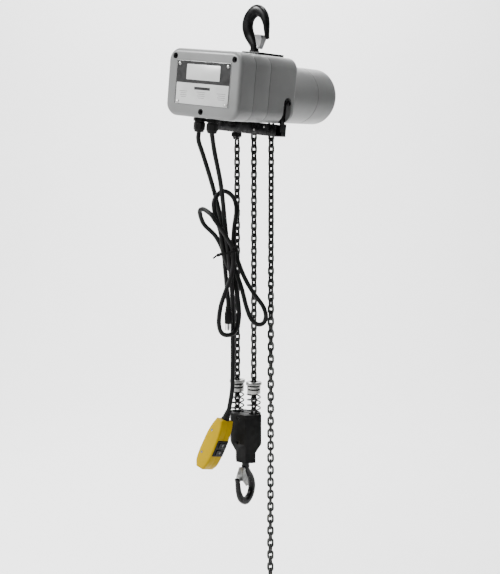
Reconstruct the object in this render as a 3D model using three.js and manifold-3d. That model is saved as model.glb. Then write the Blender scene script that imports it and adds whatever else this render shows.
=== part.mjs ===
// Electric chain hoist with two falls of chain, a hook block and a push-button pendant.
// Millimetres, +Z up. The origin is the bearing point inside the top hook.
// +X is to the right when facing the nameplate, +Y runs from the nameplate to the motor.
import * as THREE from 'three';
import Module from 'manifold-3d';
import { mergeVertices } from 'three/addons/utils/BufferGeometryUtils.js';

const wasm = await Module();
wasm.setup();

// ---------------------------------------------------------------- driving dimensions
const DEG = Math.PI / 180;
const GAP = 0.3;
const HANG_TILT = 6.2 * DEG;

const CHAIN_WIRE = 4;
const CHAIN_WIDTH = 13.6;
const FALL_SPACING = 40;
const CHAIN_WHEEL_RADIUS = FALL_SPACING / 2;
const FALL_JOIN_Z = -480;
const SLACK_END_Z = -1098;

const BODY = {
  width: 168, top: -72.5, bottom: -193, front: -144, coverBack: -102, caseBack: -56.5, back: 28,
};
const BODY_CORNER = 23;
const WALL = 4;
const MOTOR = { radius: 55, wall: 3, x: 0, z: -140, seam: 148, end: 216.5 };
const SHEAVE = { x: 29.6, z: -158, shaft: 8, flange: 25.2, halfWidth: 9.5 };

const GEAR_MODULE = 1.5;
const TEETH = { rotor: 10, layshaftWheel: 30, layshaftPinion: 11, final: 34 };
const GEAR_PLANES = { first: [-88, -78], final: [-74, -62] };

const COVER_SCREWS = [[-67.3, -86.7], [67.3, -86.7], [0, -182.2]];
const GLANDS = { y: -118, power: -21, control: 9 };
const LIMIT_BAR = { top: -195.3, bottom: -217, halfDepth: 13, halfLength: 73, sheet: 3 };
const LIMIT_ARM = { y: 9.5, width: 12, screwY: 10.5, screwZ: -155, headEnd: 83.2, travel: 2.4 };
const ARM_POCKET = { y: 4.25, z: -156, radius: 11.75, floor: 68.5 };

const HOOK_THICKNESS = 15;
const HOOK_SHANK = 7.3;
const LATCH_PIVOT = [11.2, -56.5];

const BLOCK = { rim: -753, shoulder: -811, neckTop: -830, bottom: -850, wall: 3.5, idler: -789 };
const BLOCK_PLAN = [[38, 0], [17.8, 23.8], [-17.8, 23.8], [-38, 0], [-17.8, -23.8], [17.8, -23.8]];
const NECK_SCALE = 0.64;
const CUSHION = { top: -690, bottom: -713, bore: 8.2, spring: 12.4, wire: 2.4, turns: 3.5 };
const LOAD_HOOK_Z = -920;

const CABLE_RADIUS = 4.3;
const CABLE_PLANE = 36.7 * DEG;
const PENDANT = { lean: 23 * DEG, width: 39, wall: 2.6, reliefTop: 24, u: -62, d: -32, z: -759 };
const SWITCHES = { up: -43.3, down: -58.7, width: 22, height: 11, top: -35.4, bottom: -66.6 };
const PLATE = { width: 123.6, height: 76.6, z: -132.2 };

const COLOURS = {
  paint: [0x9c9e9c, 0.45, 0.3], black: [0x1b1c1c, 0.5, 0.4], zinc: [0xc9cac6, 0.35, 0.9],
  steel: [0x8d9093, 0.4, 0.8], chain: [0x3a3c3c, 0.45, 0.8], cable: [0x161616, 0.7, 0],
  yellow: [0xe6c50e, 0.45, 0], plate: [0xd8d9d6, 0.4, 0.3], copper: [0xa9643a, 0.4, 0.8],
};

// ---------------------------------------------------------------- small helpers
const group = new THREE.Group();
const body = new THREE.Group();
body.rotation.y = HANG_TILT;
group.add(body);

function add(parent, name, geometry, colour) {
  const [color, roughness, metalness] = COLOURS[colour];
  const mesh = new THREE.Mesh(geometry, new THREE.MeshStandardMaterial({ color, roughness, metalness }));
  mesh.name = name;
  parent.add(mesh);
  return mesh;
}

function solid(geometry) {
  const bare = geometry.clone();
  bare.deleteAttribute('normal');
  bare.deleteAttribute('uv');
  const merged = mergeVertices(bare, 1e-4);
  const mesh = new wasm.Mesh({
    numProp: 3,
    vertProperties: Float32Array.from(merged.attributes.position.array),
    triVerts: Uint32Array.from(merged.index.array),
  });
  return new wasm.Manifold(mesh);
}

function geometryOf(manifold) {
  const mesh = manifold.getMesh();
  const geometry = new THREE.BufferGeometry();
  geometry.setAttribute('position', new THREE.BufferAttribute(Float32Array.from(mesh.vertProperties), 3));
  geometry.setIndex(new THREE.BufferAttribute(Uint32Array.from(mesh.triVerts), 1));
  return geometry;
}

const join = (first, ...others) => geometryOf(others.reduce((sum, g) => sum.add(solid(g)), solid(first)));
const cut = (first, ...others) => (
  geometryOf(others.reduce((rest, g) => rest.subtract(solid(g)), solid(first))));
const common = (a, b) => geometryOf(solid(a).intersect(solid(b)));

function boxBetween(x0, x1, y0, y1, z0, z1) {
  const box = new THREE.BoxGeometry(x1 - x0, y1 - y0, z1 - z0);
  return box.translate((x0 + x1) / 2, (y0 + y1) / 2, (z0 + z1) / 2);
}

// Puts a shape drawn in (X, Z) between y0 and y1.
function alongY(shape, y0, y1, segments = 3) {
  const options = { depth: y1 - y0, bevelEnabled: false, curveSegments: segments };
  return new THREE.ExtrudeGeometry(shape, options).rotateX(Math.PI / 2).translate(0, y1, 0);
}

// The same with rounded ends: the shape is the flat end face, and the edge rounding grows out of it.
function roundedAlongY(shape, y0, y1, round, segments = 3) {
  const options = { depth: y1 - y0 - 2 * round, bevelThickness: round, bevelSize: round, bevelSegments: 2,
    curveSegments: segments };
  return new THREE.ExtrudeGeometry(shape, options).rotateX(Math.PI / 2).translate(0, y1 - round, 0);
}

function roundRect(width, height, radius, x = 0, z = 0) {
  const shape = new THREE.Shape();
  const w = width / 2 - radius;
  const h = height / 2 - radius;
  shape.absarc(x + w, z + h, radius, 0, Math.PI / 2);
  shape.absarc(x - w, z + h, radius, Math.PI / 2, Math.PI);
  shape.absarc(x - w, z - h, radius, Math.PI, 1.5 * Math.PI);
  shape.absarc(x + w, z - h, radius, 1.5 * Math.PI, 2 * Math.PI);
  return shape;
}

function circle(radius, x = 0, z = 0) {
  return new THREE.Shape().absarc(x, z, radius, 0, 2 * Math.PI);
}

const rodY = (radius, x, z, y0, y1, sides = 8) => alongY(circle(radius, x, z), y0, y1, sides);

function rodZ(radius, x, y, z0, z1, sides = 20) {
  const rod = new THREE.CylinderGeometry(radius, radius, z1 - z0, sides);
  return rod.rotateX(Math.PI / 2).translate(x, y, (z0 + z1) / 2);
}

// Turns a profile of [radius, height] points about the Z axis; it runs upwards on the outside.
function turnedZ(profile, sides = 24) {
  const points = profile.map(([r, z]) => new THREE.Vector2(r, z));
  return new THREE.LatheGeometry(points, sides).rotateX(Math.PI / 2);
}

// The same about an axis along Y through (x, z).
function turnedY(profile, x, z, sides = 24) {
  const points = profile.map(([r, y]) => new THREE.Vector2(r, y));
  return new THREE.LatheGeometry(points, sides).translate(x, 0, z);
}

const ringProfile = (inner, outer, a, b) => [[outer, a], [outer, b], [inner, b], [inner, a], [outer, a]];

function ringY(inner, outer, x, z, y0, y1, sides = 24) {
  return turnedY(ringProfile(inner, outer, y0, y1), x, z, sides);
}

function tube(curve, radius, sides, steps) {
  const section = new THREE.Shape(circle(radius).getPoints(sides / 2).slice(0, -1));
  return new THREE.ExtrudeGeometry(section, { steps, extrudePath: curve, bevelEnabled: false });
}

const throughPoints = (points) => new THREE.CatmullRomCurve3(points, false, 'centripetal');

// Hoist coordinates of a point that is fixed to the tilted body.
const tilted = (x, y, z) => new THREE.Vector3(x, y, z).applyAxisAngle(new THREE.Vector3(0, 1, 0), HANG_TILT);

// A point of the upright plane in which the cables hang: u along it, d behind it.
function inCablePlane(u, d, z) {
  const across = u * Math.cos(CABLE_PLANE) - d * Math.sin(CABLE_PLANE);
  const along = u * Math.sin(CABLE_PLANE) + d * Math.cos(CABLE_PLANE);
  return new THREE.Vector3(across, along, z);
}

const sheaveCentre = tilted(SHEAVE.x, 0, SHEAVE.z);
const SLACK_X = sheaveCentre.x + CHAIN_WHEEL_RADIUS;
const LIVE_X = sheaveCentre.x - CHAIN_WHEEL_RADIUS;
const DEAD_X = LIVE_X - FALL_SPACING;
const BLOCK_X = (LIVE_X + DEAD_X) / 2;

// Where an upright fall crosses the tilted body at height z.
const fallInBody = (x, z) => (x - z * Math.sin(HANG_TILT)) / Math.cos(HANG_TILT);

// ---------------------------------------------------------------- casings
const middleZ = (BODY.top + BODY.bottom) / 2;
const bodyHeight = BODY.top - BODY.bottom;

function bodyOutline(inset) {
  return roundRect(BODY.width - 2 * inset, bodyHeight - 2 * inset, BODY_CORNER - inset, 0, middleZ);
}

function coverScrewHoles() {
  const heads = COVER_SCREWS.map(([x, z]) => rodY(5.4, x, z, BODY.front - 1, BODY.front + 7, 6));
  const shanks = COVER_SCREWS.map(([x, z]) => rodY(2.4, x, z, BODY.front - 1, BODY.coverBack + 1, 4));
  return [...heads, ...shanks];
}

function plateOutline(grow) {
  return roundRect(PLATE.width + 2 * grow, PLATE.height + 2 * grow, 2 + grow, 0, PLATE.z);
}

function frontCover() {
  const round = 8;
  const blank = roundedAlongY(bodyOutline(round), BODY.front, BODY.coverBack + round, round);
  const outer = cut(blank, boxBetween(-99, 99, BODY.coverBack, -50, -220, -50));
  const cavity = alongY(bodyOutline(WALL), BODY.front + WALL + 1, BODY.coverBack + 1);
  const bosses = COVER_SCREWS.map(([x, z]) => rodY(7.5, x, z, BODY.front + WALL, BODY.coverBack + 2, 6));
  const plateRecess = alongY(plateOutline(0.7), BODY.front - 1, BODY.front + 1);
  const glandHoles = [GLANDS.power, GLANDS.control].map((x) => rodZ(7.3, x, GLANDS.y, BODY.bottom - 1, -180));
  return cut(outer, cut(cavity, ...bosses), plateRecess, ...glandHoles, ...coverScrewHoles());
}

function gearCase() {
  const front = BODY.coverBack + GAP;
  const outer = alongY(bodyOutline(0), front, BODY.caseBack - GAP);
  const cavity = alongY(bodyOutline(WALL), front + 5, BODY.caseBack + 1);
  const bearings = [layshaftAt, MOTOR].map(({ x, z }) => rodY(4.8, x, z, front - 1, front + 6));
  const screws = COVER_SCREWS.map(([x, z]) => rodY(2.4, x, z, front - 1, front + 6, 4));
  return cut(outer, cavity, ...bearings, ...screws);
}

// A round-topped upright slab in the side wall between x0 and x1; the radius is half its width.
function archSlab(x0, x1, z0, topZ, radius) {
  const { y } = ARM_POCKET;
  const arch = new THREE.CylinderGeometry(radius, radius, x1 - x0, 20).rotateZ(Math.PI / 2);
  const upright = boxBetween(x0, x1, y - radius, y + radius, z0, topZ);
  return join(upright, arch.translate((x0 + x1) / 2, y, topZ));
}

// The channel in each side wall, in which an arm of the limit bar slides.
function armPocket(side) {
  const { z, radius, floor } = ARM_POCKET;
  const [x0, x1] = [side * floor, side * (BODY.width / 2 + 1)].sort((a, b) => a - b);
  return archSlab(x0, x1, BODY.bottom - 1, z, radius);
}

function rearHousing() {
  const round = 5;
  const blank = roundedAlongY(bodyOutline(round), BODY.caseBack - 2 * round, BODY.back, round);
  const outer = cut(blank, boxBetween(-99, 99, -90, BODY.caseBack, -220, -50));
  const liveX = fallInBody(LIVE_X, BODY.bottom);
  const slackX = fallInBody(SLACK_X, BODY.bottom);
  const cavities = [
    boxBetween(-62, 66, BODY.caseBack + 6, BODY.back - 12, BODY.bottom + WALL, BODY.top - WALL),
    boxBetween(liveX - 9, slackX + 9, -9, 9, BODY.bottom - 1, BODY.bottom + WALL + 1),
    rodZ(HOOK_SHANK + 0.6, 0, 0, BODY.top - WALL - 1, BODY.top + 1),
    rodY(14.3, SHEAVE.x, SHEAVE.z, BODY.caseBack - 1, BODY.back - 3),
    rodY(6.5, MOTOR.x, MOTOR.z, BODY.caseBack - 1, 0),
    rodY(13.3, MOTOR.x, MOTOR.z, 10, BODY.back + 1),
    rodY(4.8, layshaftAt.x, layshaftAt.z, BODY.caseBack - 1, BODY.caseBack + 7),
  ];
  const { screwY, screwZ } = LIMIT_ARM;
  const screwHole = boxBetween(-80, 80, screwY - 2.6, screwY + 2.6, screwZ - 2.6, screwZ + 2.6);
  return cut(outer, ...cavities, armPocket(-1), armPocket(1), screwHole);
}

function motorEndCap() {
  const { radius, wall, seam, end } = MOTOR;
  const inner = radius - wall;
  const corner = 9;
  const profile = [[0, end - wall], [inner - 4, end - wall], [inner, end - wall - 4], [inner, seam + GAP],
    [radius, seam + GAP]];
  for (let step = 0; step <= 4; step += 1) {
    const angle = step / 4 * Math.PI / 2;
    profile.push([radius - corner + corner * Math.cos(angle), end - corner + corner * Math.sin(angle)]);
  }
  profile.push([0, end]);
  return turnedY(profile, MOTOR.x, MOTOR.z, 32);
}

// ---------------------------------------------------------------- gears
function gear(teeth, x, z, y0, y1, phase) {
  const pitch = 2 * Math.PI / teeth;
  const radius = GEAR_MODULE * teeth / 2;
  const root = radius - 1.25 * GEAR_MODULE;
  const tip = radius + 0.8 * GEAR_MODULE;
  const shape = new THREE.Shape();
  const corners = [[root, -0.27], [tip, -0.11], [tip, 0.11], [root, 0.27]];
  for (let tooth = 0; tooth < teeth; tooth += 1) {
    for (const [r, share] of corners) {
      const angle = phase + (tooth + share) * pitch;
      const point = [x + r * Math.cos(angle), z + r * Math.sin(angle)];
      if (tooth === 0 && share === corners[0][1]) {
        shape.moveTo(...point);
      } else {
        shape.lineTo(...point);
      }
    }
  }
  shape.closePath();
  return alongY(shape, y0, y1);
}

// The layshaft stands where both gear pairs are in mesh, above the other two shafts.
function layshaftPosition() {
  const first = GEAR_MODULE * (TEETH.rotor + TEETH.layshaftWheel) / 2;
  const second = GEAR_MODULE * (TEETH.layshaftPinion + TEETH.final) / 2;
  const rotor = new THREE.Vector2(MOTOR.x, MOTOR.z);
  const sheave = new THREE.Vector2(SHEAVE.x, SHEAVE.z);
  const between = sheave.clone().sub(rotor);
  const distance = between.length();
  const along = (first ** 2 - second ** 2 + distance ** 2) / (2 * distance);
  const aside = Math.sqrt(first ** 2 - along ** 2);
  between.normalize();
  const across = new THREE.Vector2(-between.y, between.x);
  const at = rotor.addScaledVector(between, along).addScaledVector(across, aside);
  return { x: at.x, z: at.y };
}
const layshaftAt = layshaftPosition();

const direction = (from, to) => Math.atan2(to.z - from.z, to.x - from.x);
const halfTooth = (teeth) => Math.PI / teeth;

function layshaft() {
  const { x, z } = layshaftAt;
  const phase = direction(layshaftAt, MOTOR) + halfTooth(TEETH.layshaftWheel);
  const wheel = gear(TEETH.layshaftWheel, x, z, ...GEAR_PLANES.first, phase);
  const pinion = gear(TEETH.layshaftPinion, x, z, GEAR_PLANES.first[1] - 1, GEAR_PLANES.final[1] + 1,
    direction(layshaftAt, SHEAVE));
  return join(rodY(4, x, z, BODY.coverBack + 2, BODY.caseBack + 5.5), wheel, pinion);
}

function finalGear() {
  const towards = direction(SHEAVE, layshaftAt) + halfTooth(TEETH.final);
  const [front, back] = GEAR_PLANES.final;
  const wheel = gear(TEETH.final, SHEAVE.x, SHEAVE.z, front, back, towards);
  return cut(wheel, rodY(SHEAVE.shaft + GAP, SHEAVE.x, SHEAVE.z, front - 1, back + 1));
}

function rotor() {
  const [front, back] = GEAR_PLANES.first;
  const pinion = gear(TEETH.rotor, MOTOR.x, MOTOR.z, front - 1, back + 1, direction(MOTOR, layshaftAt));
  const shaft = rodY(4.5, MOTOR.x, MOTOR.z, BODY.coverBack + 2, 200);
  const core = rodY(25, MOTOR.x, MOTOR.z, 55, 125, 12);
  return join(shaft, pinion, core);
}

// ---------------------------------------------------------------- chain and its wheels
// Open on both flat sides between its rim flanges, so that the bent chain fits the groove.
function chainWheel(x, z, bore) {
  const { flange, halfWidth } = SHEAVE;
  const floor = 17.2;
  const slot = 12.4;
  return turnedY([[bore, -halfWidth], [flange, -halfWidth], [flange, -7.4], [floor, -7.4], [floor, -2.6],
    [slot, -2.6], [slot, 2.6], [floor, 2.6], [floor, 7.4], [flange, 7.4], [flange, halfWidth],
    [bore, halfWidth], [bore, -halfWidth]], x, z, 20);
}

function loadSheave() {
  const wheel = chainWheel(SHEAVE.x, SHEAVE.z, SHEAVE.shaft - 1);
  return join(wheel, rodY(SHEAVE.shaft, SHEAVE.x, SHEAVE.z, -76, 24));
}

// The cross that a run of links fills: two flat bars at right angles.
function chainSection() {
  const w = CHAIN_WIDTH / 2;
  const t = CHAIN_WIRE / 2;
  const corners = [[w, -t], [w, t], [t, t], [t, w], [-t, w], [-t, t], [-w, t], [-w, -t], [-t, -t], [-t, -w],
    [t, -w], [t, -t]];
  return new THREE.Shape(corners.map(([x, y]) => new THREE.Vector2(x, y)));
}

function straightFall(x, z0, z1) {
  const fall = new THREE.ExtrudeGeometry(chainSection(), { depth: z1 - z0, bevelEnabled: false });
  return fall.translate(x, 0, z0);
}

// Two upright falls and the half turn that joins them; side is +1 over a wheel and -1 under one.
function chainLoop(centre, side, leftEnd, rightEnd) {
  const steps = 12;
  const onBend = (step) => {
    const angle = Math.PI * (1 - step / steps);
    const height = side * CHAIN_WHEEL_RADIUS * Math.sin(angle);
    return new THREE.Vector3(centre.x + CHAIN_WHEEL_RADIUS * Math.cos(angle), 0, centre.z + height);
  };
  const bend = new THREE.CurvePath();
  for (let step = 0; step < steps; step += 1) {
    bend.add(new THREE.LineCurve3(onBend(step), onBend(step + 1)));
  }
  const wrap = new THREE.ExtrudeGeometry(chainSection(), { steps, extrudePath: bend, bevelEnabled: false });
  const meeting = centre.z + side * 0.05;
  const falls = [[-1, leftEnd], [1, rightEnd]].map(([hand, end]) => {
    const [low, high] = [end, meeting].sort((p, q) => p - q);
    return straightFall(centre.x + hand * CHAIN_WHEEL_RADIUS, low, high);
  });
  return join(wrap, ...falls);
}

// ---------------------------------------------------------------- hooks
// A band of changing width along a smooth centre line, with a round far end.
function bandShape(stations) {
  const centre = new THREE.SplineCurve(stations.map(([h, z]) => new THREE.Vector2(h, z)));
  const widths = new THREE.SplineCurve(stations.map(([, , half], i) => new THREE.Vector2(i, half)));
  const steps = 18;
  const left = [];
  const right = [];
  for (let step = 0; step <= steps; step += 1) {
    const t = step / steps;
    const point = centre.getPoint(t);
    const across = centre.getTangent(t);
    const half = widths.getPoint(t).y;
    left.push(new THREE.Vector2(point.x - across.y * half, point.y + across.x * half));
    right.push(new THREE.Vector2(point.x + across.y * half, point.y - across.x * half));
  }
  const [lastH, lastZ, lastHalf] = stations.at(-1);
  const end = centre.getTangent(1).angle();
  const cap = [-60, -30, 0, 30, 60].map((a) => {
    const angle = end + a * DEG;
    return new THREE.Vector2(lastH + lastHalf * Math.cos(angle), lastZ + lastHalf * Math.sin(angle));
  });
  return new THREE.Shape([...right, ...cap, ...left.reverse()]);
}

const HOOK_LINE = [[0, -62.4, 4], [0, -56, 4.2], [-6.5, -46, 4.8], [-15, -35, 5.4], [-20.5, -18, 6],
  [-15.5, -1, 6], [-1, 9.2, 6.2], [13.5, 3, 4.4], [21.5, -12, 2.6], [24, -27, 1.6], [24.8, -38, 1.2]];

// Drawn bowl up, as the top hook hangs: the back of the bowl at -X, the tip at +X, the shank down.
function hook(shankEnd) {
  const round = 3;
  const limb = roundedAlongY(bandShape(HOOK_LINE), -HOOK_THICKNESS / 2, HOOK_THICKNESS / 2, round);
  const [px, pz] = LATCH_PIVOT;
  const lug = alongY(circle(3.4, px, pz), -3.6, 3.6, 6);
  const root = boxBetween(0, px, -3.6, 3.6, pz - 3, pz + 3);
  const shank = rodZ(HOOK_SHANK, 0, 0, shankEnd, -58);
  return cut(join(limb, shank, root, lug), alongY(circle(1.8, px, pz), -9, 9, 4));
}

// Two cheeks and the web between them, narrow at the pivot and as wide as the bowl at the free end.
function latch() {
  const [px, pz] = LATCH_PIVOT;
  const corners = [[px - 2.4, pz - 3.6], [px + 3.6, pz - 3.6], [20, -42], [19.4, -35], [4, -35.5],
    [px - 2.8, pz + 2]];
  const outline = new THREE.Shape(corners.map(([x, z]) => new THREE.Vector2(x, z)));
  const taper = (near, far) => {
    const plan = new THREE.Shape([[-near, -62], [near, -62], [near, -54], [far, -42], [far, -30], [-far, -30],
      [-far, -42], [-near, -54]].map(([y, z]) => new THREE.Vector2(y, z)));
    return new THREE.ExtrudeGeometry(plan, { depth: 60, bevelEnabled: false }).applyMatrix4(
      new THREE.Matrix4().set(0, 0, 1, -20, 1, 0, 0, 0, 0, 1, 0, 0, 0, 0, 0, 1));
  };
  const blank = common(alongY(outline, -12, 12), taper(5.6, 9));
  const hollow = common(boxBetween(-20, 40, -20, 20, -70, -37.2), taper(4.2, 7.8));
  const pin = alongY(circle(1.5, px, pz), -5.2, 5.2, 4);
  return join(cut(blank, hollow), pin);
}

// The load hook is the same hook, bowl down, with the bowl's back at +Y and its tip at -Y.
function asLoadHook(geometry) {
  return geometry.rotateY(Math.PI).rotateZ(Math.PI / 2).translate(BLOCK_X, 0, LOAD_HOOK_Z);
}

function hookNut(z0, z1) {
  return cut(rodZ(11, 0, 0, z0, z1, 6), rodZ(HOOK_SHANK + GAP, 0, 0, z0 - 1, z1 + 1));
}

// ---------------------------------------------------------------- hook block
function hexagonPlan(scale, inset = 0) {
  const points = BLOCK_PLAN.map(([x, y]) => {
    const length = Math.hypot(x, y);
    const keep = scale * (length - inset * 1.25) / length;
    return new THREE.Vector2(x * keep, y * keep);
  });
  return new THREE.Shape(points);
}

function hexagonPrism(scale, inset, z0, z1) {
  const options = { depth: z1 - z0, bevelEnabled: false };
  return new THREE.ExtrudeGeometry(hexagonPlan(scale, inset), options).translate(0, 0, z0);
}

// The tapered length between the case and the neck, drawn as a prism whose lower end is drawn in.
function hexagonTaper(inset, z0, z1) {
  const taper = hexagonPrism(1, inset, z0, z1);
  const position = taper.attributes.position;
  for (let i = 0; i < position.count; i += 1) {
    if (position.getZ(i) < (z0 + z1) / 2) {
      position.setX(i, position.getX(i) * NECK_SCALE);
      position.setY(i, position.getY(i) * NECK_SCALE);
    }
  }
  return taper;
}

function blockCase() {
  const { rim, shoulder, neckTop, bottom, wall, idler } = BLOCK;
  const outer = join(hexagonPrism(1, 0, shoulder - 0.01, rim), hexagonTaper(0, neckTop, shoulder),
    hexagonPrism(NECK_SCALE, 0, bottom, neckTop + 0.01));
  const wheelRoom = ringY(0.01, 28.6, 0, idler, -10.2, 10.2, 30);
  const chainRoom = boxBetween(-28.6, 28.6, -8, 8, idler, rim - 5);
  const bores = [-1, 1].map((side) => rodZ(8.6, side * CHAIN_WHEEL_RADIUS, 0, rim - 10, rim + 1, 16));
  const hookRoom = rodZ(11.8, 0, 0, bottom + 6, shoulder - 8, 16);
  const shankHole = rodZ(HOOK_SHANK + 0.6, 0, 0, bottom - 1, bottom + 8, 20);
  const axleHole = rodY(5.3, 0, idler, -19, 19);
  return cut(outer, wheelRoom, chainRoom, ...bores, hookRoom, shankHole, axleHole, ...blockScrewHoles());
}

const BLOCK_SCREWS = { upper: [0, -761], lower: [0, -808] };
const blockScrewHoles = () => Object.values(BLOCK_SCREWS).flatMap(([x, z]) => [
  rodY(1.9, x, z, -20, 14, 4), rodY(3.4, x, z, -26, -19.6, 6)]);

function blockScrew(x, z) {
  const head = cut(rodY(3, x, z, -22.6, -20, 6), rodY(1.5, x, z, -24, -21.4, 3));
  const shank = rodY(1.5, x, z, -20.5, z > -790 ? 12 : -11.5, 4);
  return join(head, shank);
}

function cushionCup(x) {
  const { top, bottom, bore } = CUSHION;
  const profile = [[bore, bottom], [12.7, bottom], [12.7, bottom + 7], [11.4, bottom + 7.4],
    [11.4, bottom + 9.6], [13, bottom + 10], [13, bottom + 13.6], [11.8, bottom + 14],
    [11.8, bottom + 16.4], [15.2, bottom + 17], [15.2, top - 1], [14.2, top], [bore, top], [bore, bottom]];
  return turnedZ(profile, 18).translate(x, 0, 0);
}

class Helix extends THREE.Curve {
  constructor(x, z0, z1, radius, turns) {
    super();
    Object.assign(this, { x, z0, z1, radius, turns });
  }

  getPoint(t) {
    const angle = 2 * Math.PI * this.turns * t;
    const height = this.z0 + (this.z1 - this.z0) * t;
    return new THREE.Vector3(this.x + this.radius * Math.cos(angle), this.radius * Math.sin(angle), height);
  }
}

function cushionSpring(x) {
  const { spring, wire, turns, bottom } = CUSHION;
  const clear = wire / 2 + 0.5;
  return tube(new Helix(x, BLOCK.rim + clear, bottom - clear, spring, turns), wire / 2, 6, 12 * turns);
}

// ---------------------------------------------------------------- limit bar under the body
// An open-ended channel with a hole for each fall, and a slotted arm at each end.
function limitBar() {
  const { top, bottom, halfDepth, halfLength, sheet } = LIMIT_BAR;
  const channel = boxBetween(-halfLength, halfLength, -halfDepth, halfDepth, bottom, top);
  const web = halfDepth - sheet;
  const inside = boxBetween(-halfLength - 1, halfLength + 1, -web, web, bottom + sheet, top + 1);
  const holes = [DEAD_X, LIVE_X, SLACK_X].map((x) => (
    rodZ(10.5, fallInBody(x, bottom), 0, bottom - 1, bottom + 4)));
  return join(cut(channel, inside, ...holes), limitArm(-1), limitArm(1));
}

function limitArm(side) {
  const { top, bottom, halfLength, sheet } = LIMIT_BAR;
  const { y, width, screwY, screwZ, travel } = LIMIT_ARM;
  const [x0, x1] = [side * (halfLength - sheet), side * halfLength].sort((a, b) => a - b);
  const foot = boxBetween(x0, x1, y - 2, y + 12.5, bottom, top + 1.8);
  const arch = archSlab(x0, x1, bottom + 8, ARM_POCKET.z - travel, ARM_POCKET.radius - 0.5);
  const strap = common(arch, boxBetween(x0, x1, y - width / 2, y + width / 2, bottom, screwZ + 20));
  const slot = boxBetween(x0 - 1, x1 + 1, screwY - 2.5, screwY + 2.5, screwZ - 2.5 - travel, screwZ + 2.5);
  return cut(join(foot, strap), slot);
}

function limitBarScrew(side) {
  const { screwY, screwZ, headEnd } = LIMIT_ARM;
  const disc = (radius, x0, x1) => new THREE.CylinderGeometry(radius, radius, x1 - x0, 16)
    .rotateZ(Math.PI / 2).translate(side * (x0 + x1) / 2, screwY, screwZ);
  return join(disc(5.1, headEnd - 3.2, headEnd), disc(2.2, 64, headEnd - 1));
}

// ---------------------------------------------------------------- cables and pendant
function gland(x) {
  const nut = turnedZ([[0, -218], [5.6, -218], [7.6, -214], [9.4, -212], [9.4, -201], [10.6, -200],
    [10.6, -194], [6.9, -193.6], [6.9, -184], [0, -184]], 6);
  return nut.translate(x, GLANDS.y, 0);
}

// The power cord, folded into a hank of four loops that hangs from its own lead: [u, d, z] along it.
const POWER_ROUTE = [
  [-99, -60, -257], [-90, -52, -287], [-82, -41, -316], [-74, -36, -347], [-67, -36, -379],
  [-60, -38, -411], [-51, -41, -442], [-40, -46, -472], [-29, -51, -503], [-21, -57, -534],
  [-12, -61, -558], [-3, -57, -568], [5, -51, -571], [12, -42, -569], [16, -34, -562],
  [16, -28, -554], [11, -26, -540], [-7, -31, -514], [-23, -35, -486], [-35, -38, -456],
  [-44, -38, -425], [-43, -32, -392], [-39, -28, -362], [-40, -26, -347], [-46, -31, -333],
  [-58, -39, -324], [-66, -45, -324], [-76, -53, -334], [-80, -56, -344], [-78, -56, -364],
  [-69, -52, -394], [-64, -49, -425], [-56, -42, -458], [-43, -36, -487], [-37, -37, -519],
  [-34, -36, -551], [-36, -36, -573], [-40, -38, -583], [-47, -44, -590], [-60, -55, -590],
  [-67, -61, -584], [-71, -65, -569], [-68, -64, -537], [-58, -61, -506], [-47, -59, -475],
  [-44, -56, -443], [-46, -57, -428], [-61, -64, -400], [-78, -70, -375], [-84, -69, -366],
  [-95, -59, -358], [-101, -51, -356], [-106, -43, -359], [-105, -32, -372], [-99, -27, -386],
  [-78, -32, -407], [-64, -36, -435], [-60, -34, -468], [-57, -41, -500], [-54, -45, -531],
];
const PENDANT_ROUTE = [
  [-78, -76, -250], [-68, -65, -303], [-64, -60, -335], [-59, -53, -389], [-53, -52, -443],
  [-49, -47, -481], [-46, -32, -534], [-46, -31, -582], [-46, -31, -639], [-47, -32, -692], [-48, -32, -704],
];
const PLUG = { u: -54, d: -46, top: -538, bottom: -570, width: 14, depth: 16, pinEnd: -584 };
const CORD_TIE = {
  u: -52.7, d: -46, z: -436, width: 34, depth: 32, corner: 7, strap: 1.6, height: 4, lean: 14 * DEG,
};

function powerCord() {
  const { power, y } = GLANDS;
  const ends = [tilted(power, y, -218 - 2 * GAP), tilted(power, y, -232)];
  const end = inCablePlane(PLUG.u, PLUG.d, PLUG.top + 5 * GAP);
  const route = throughPoints([...ends, ...POWER_ROUTE.map((p) => inCablePlane(...p)), end]);
  route.arcLengthDivisions = 1200;
  return tube(route, CABLE_RADIUS, 8, 150);
}

function pendantCable() {
  const start = tilted(GLANDS.control, GLANDS.y, -218 - 6 * GAP);
  const end = pendantPoint(0, 0, PENDANT.reliefTop + 4 * GAP);
  return throughPoints([start, ...PENDANT_ROUTE.map((p) => inCablePlane(...p)), end]);
}

// The strap round the waist of the hank; it sags towards its tail.
function cordTie() {
  const { u, d, z, width, depth, corner, strap, height, lean } = CORD_TIE;
  const outline = (grow) => roundRect(width + 2 * grow, depth + 2 * grow, corner + grow);
  const slab = (shape, tall) => {
    const options = { depth: tall, bevelEnabled: false, curveSegments: 4 };
    return new THREE.ExtrudeGeometry(shape, options).translate(0, 0, -tall / 2);
  };
  const ring = cut(slab(outline(strap), height), slab(outline(0), 3 * height));
  return ring.rotateY(-lean).translate(u, d, z).rotateZ(CABLE_PLANE);
}

function powerPlug() {
  const { u, d, top, bottom, width, depth, pinEnd } = PLUG;
  const body = roundRect(width, top - bottom, 5, u, (top + bottom) / 2);
  const shell = roundedAlongY(body, d - depth / 2, d + depth / 2, 0.5);
  const blades = [-1, 1].map((side) => boxBetween(u + side * 4.5 - 0.8, u + side * 4.5 + 0.8, d - 5, d + 1,
    pinEnd + 2, bottom + 3));
  const earth = rodZ(2.3, u, d + 4.5, pinEnd, bottom + 3, 10);
  return join(shell, ...blades, earth).rotateZ(CABLE_PLANE);
}

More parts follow.
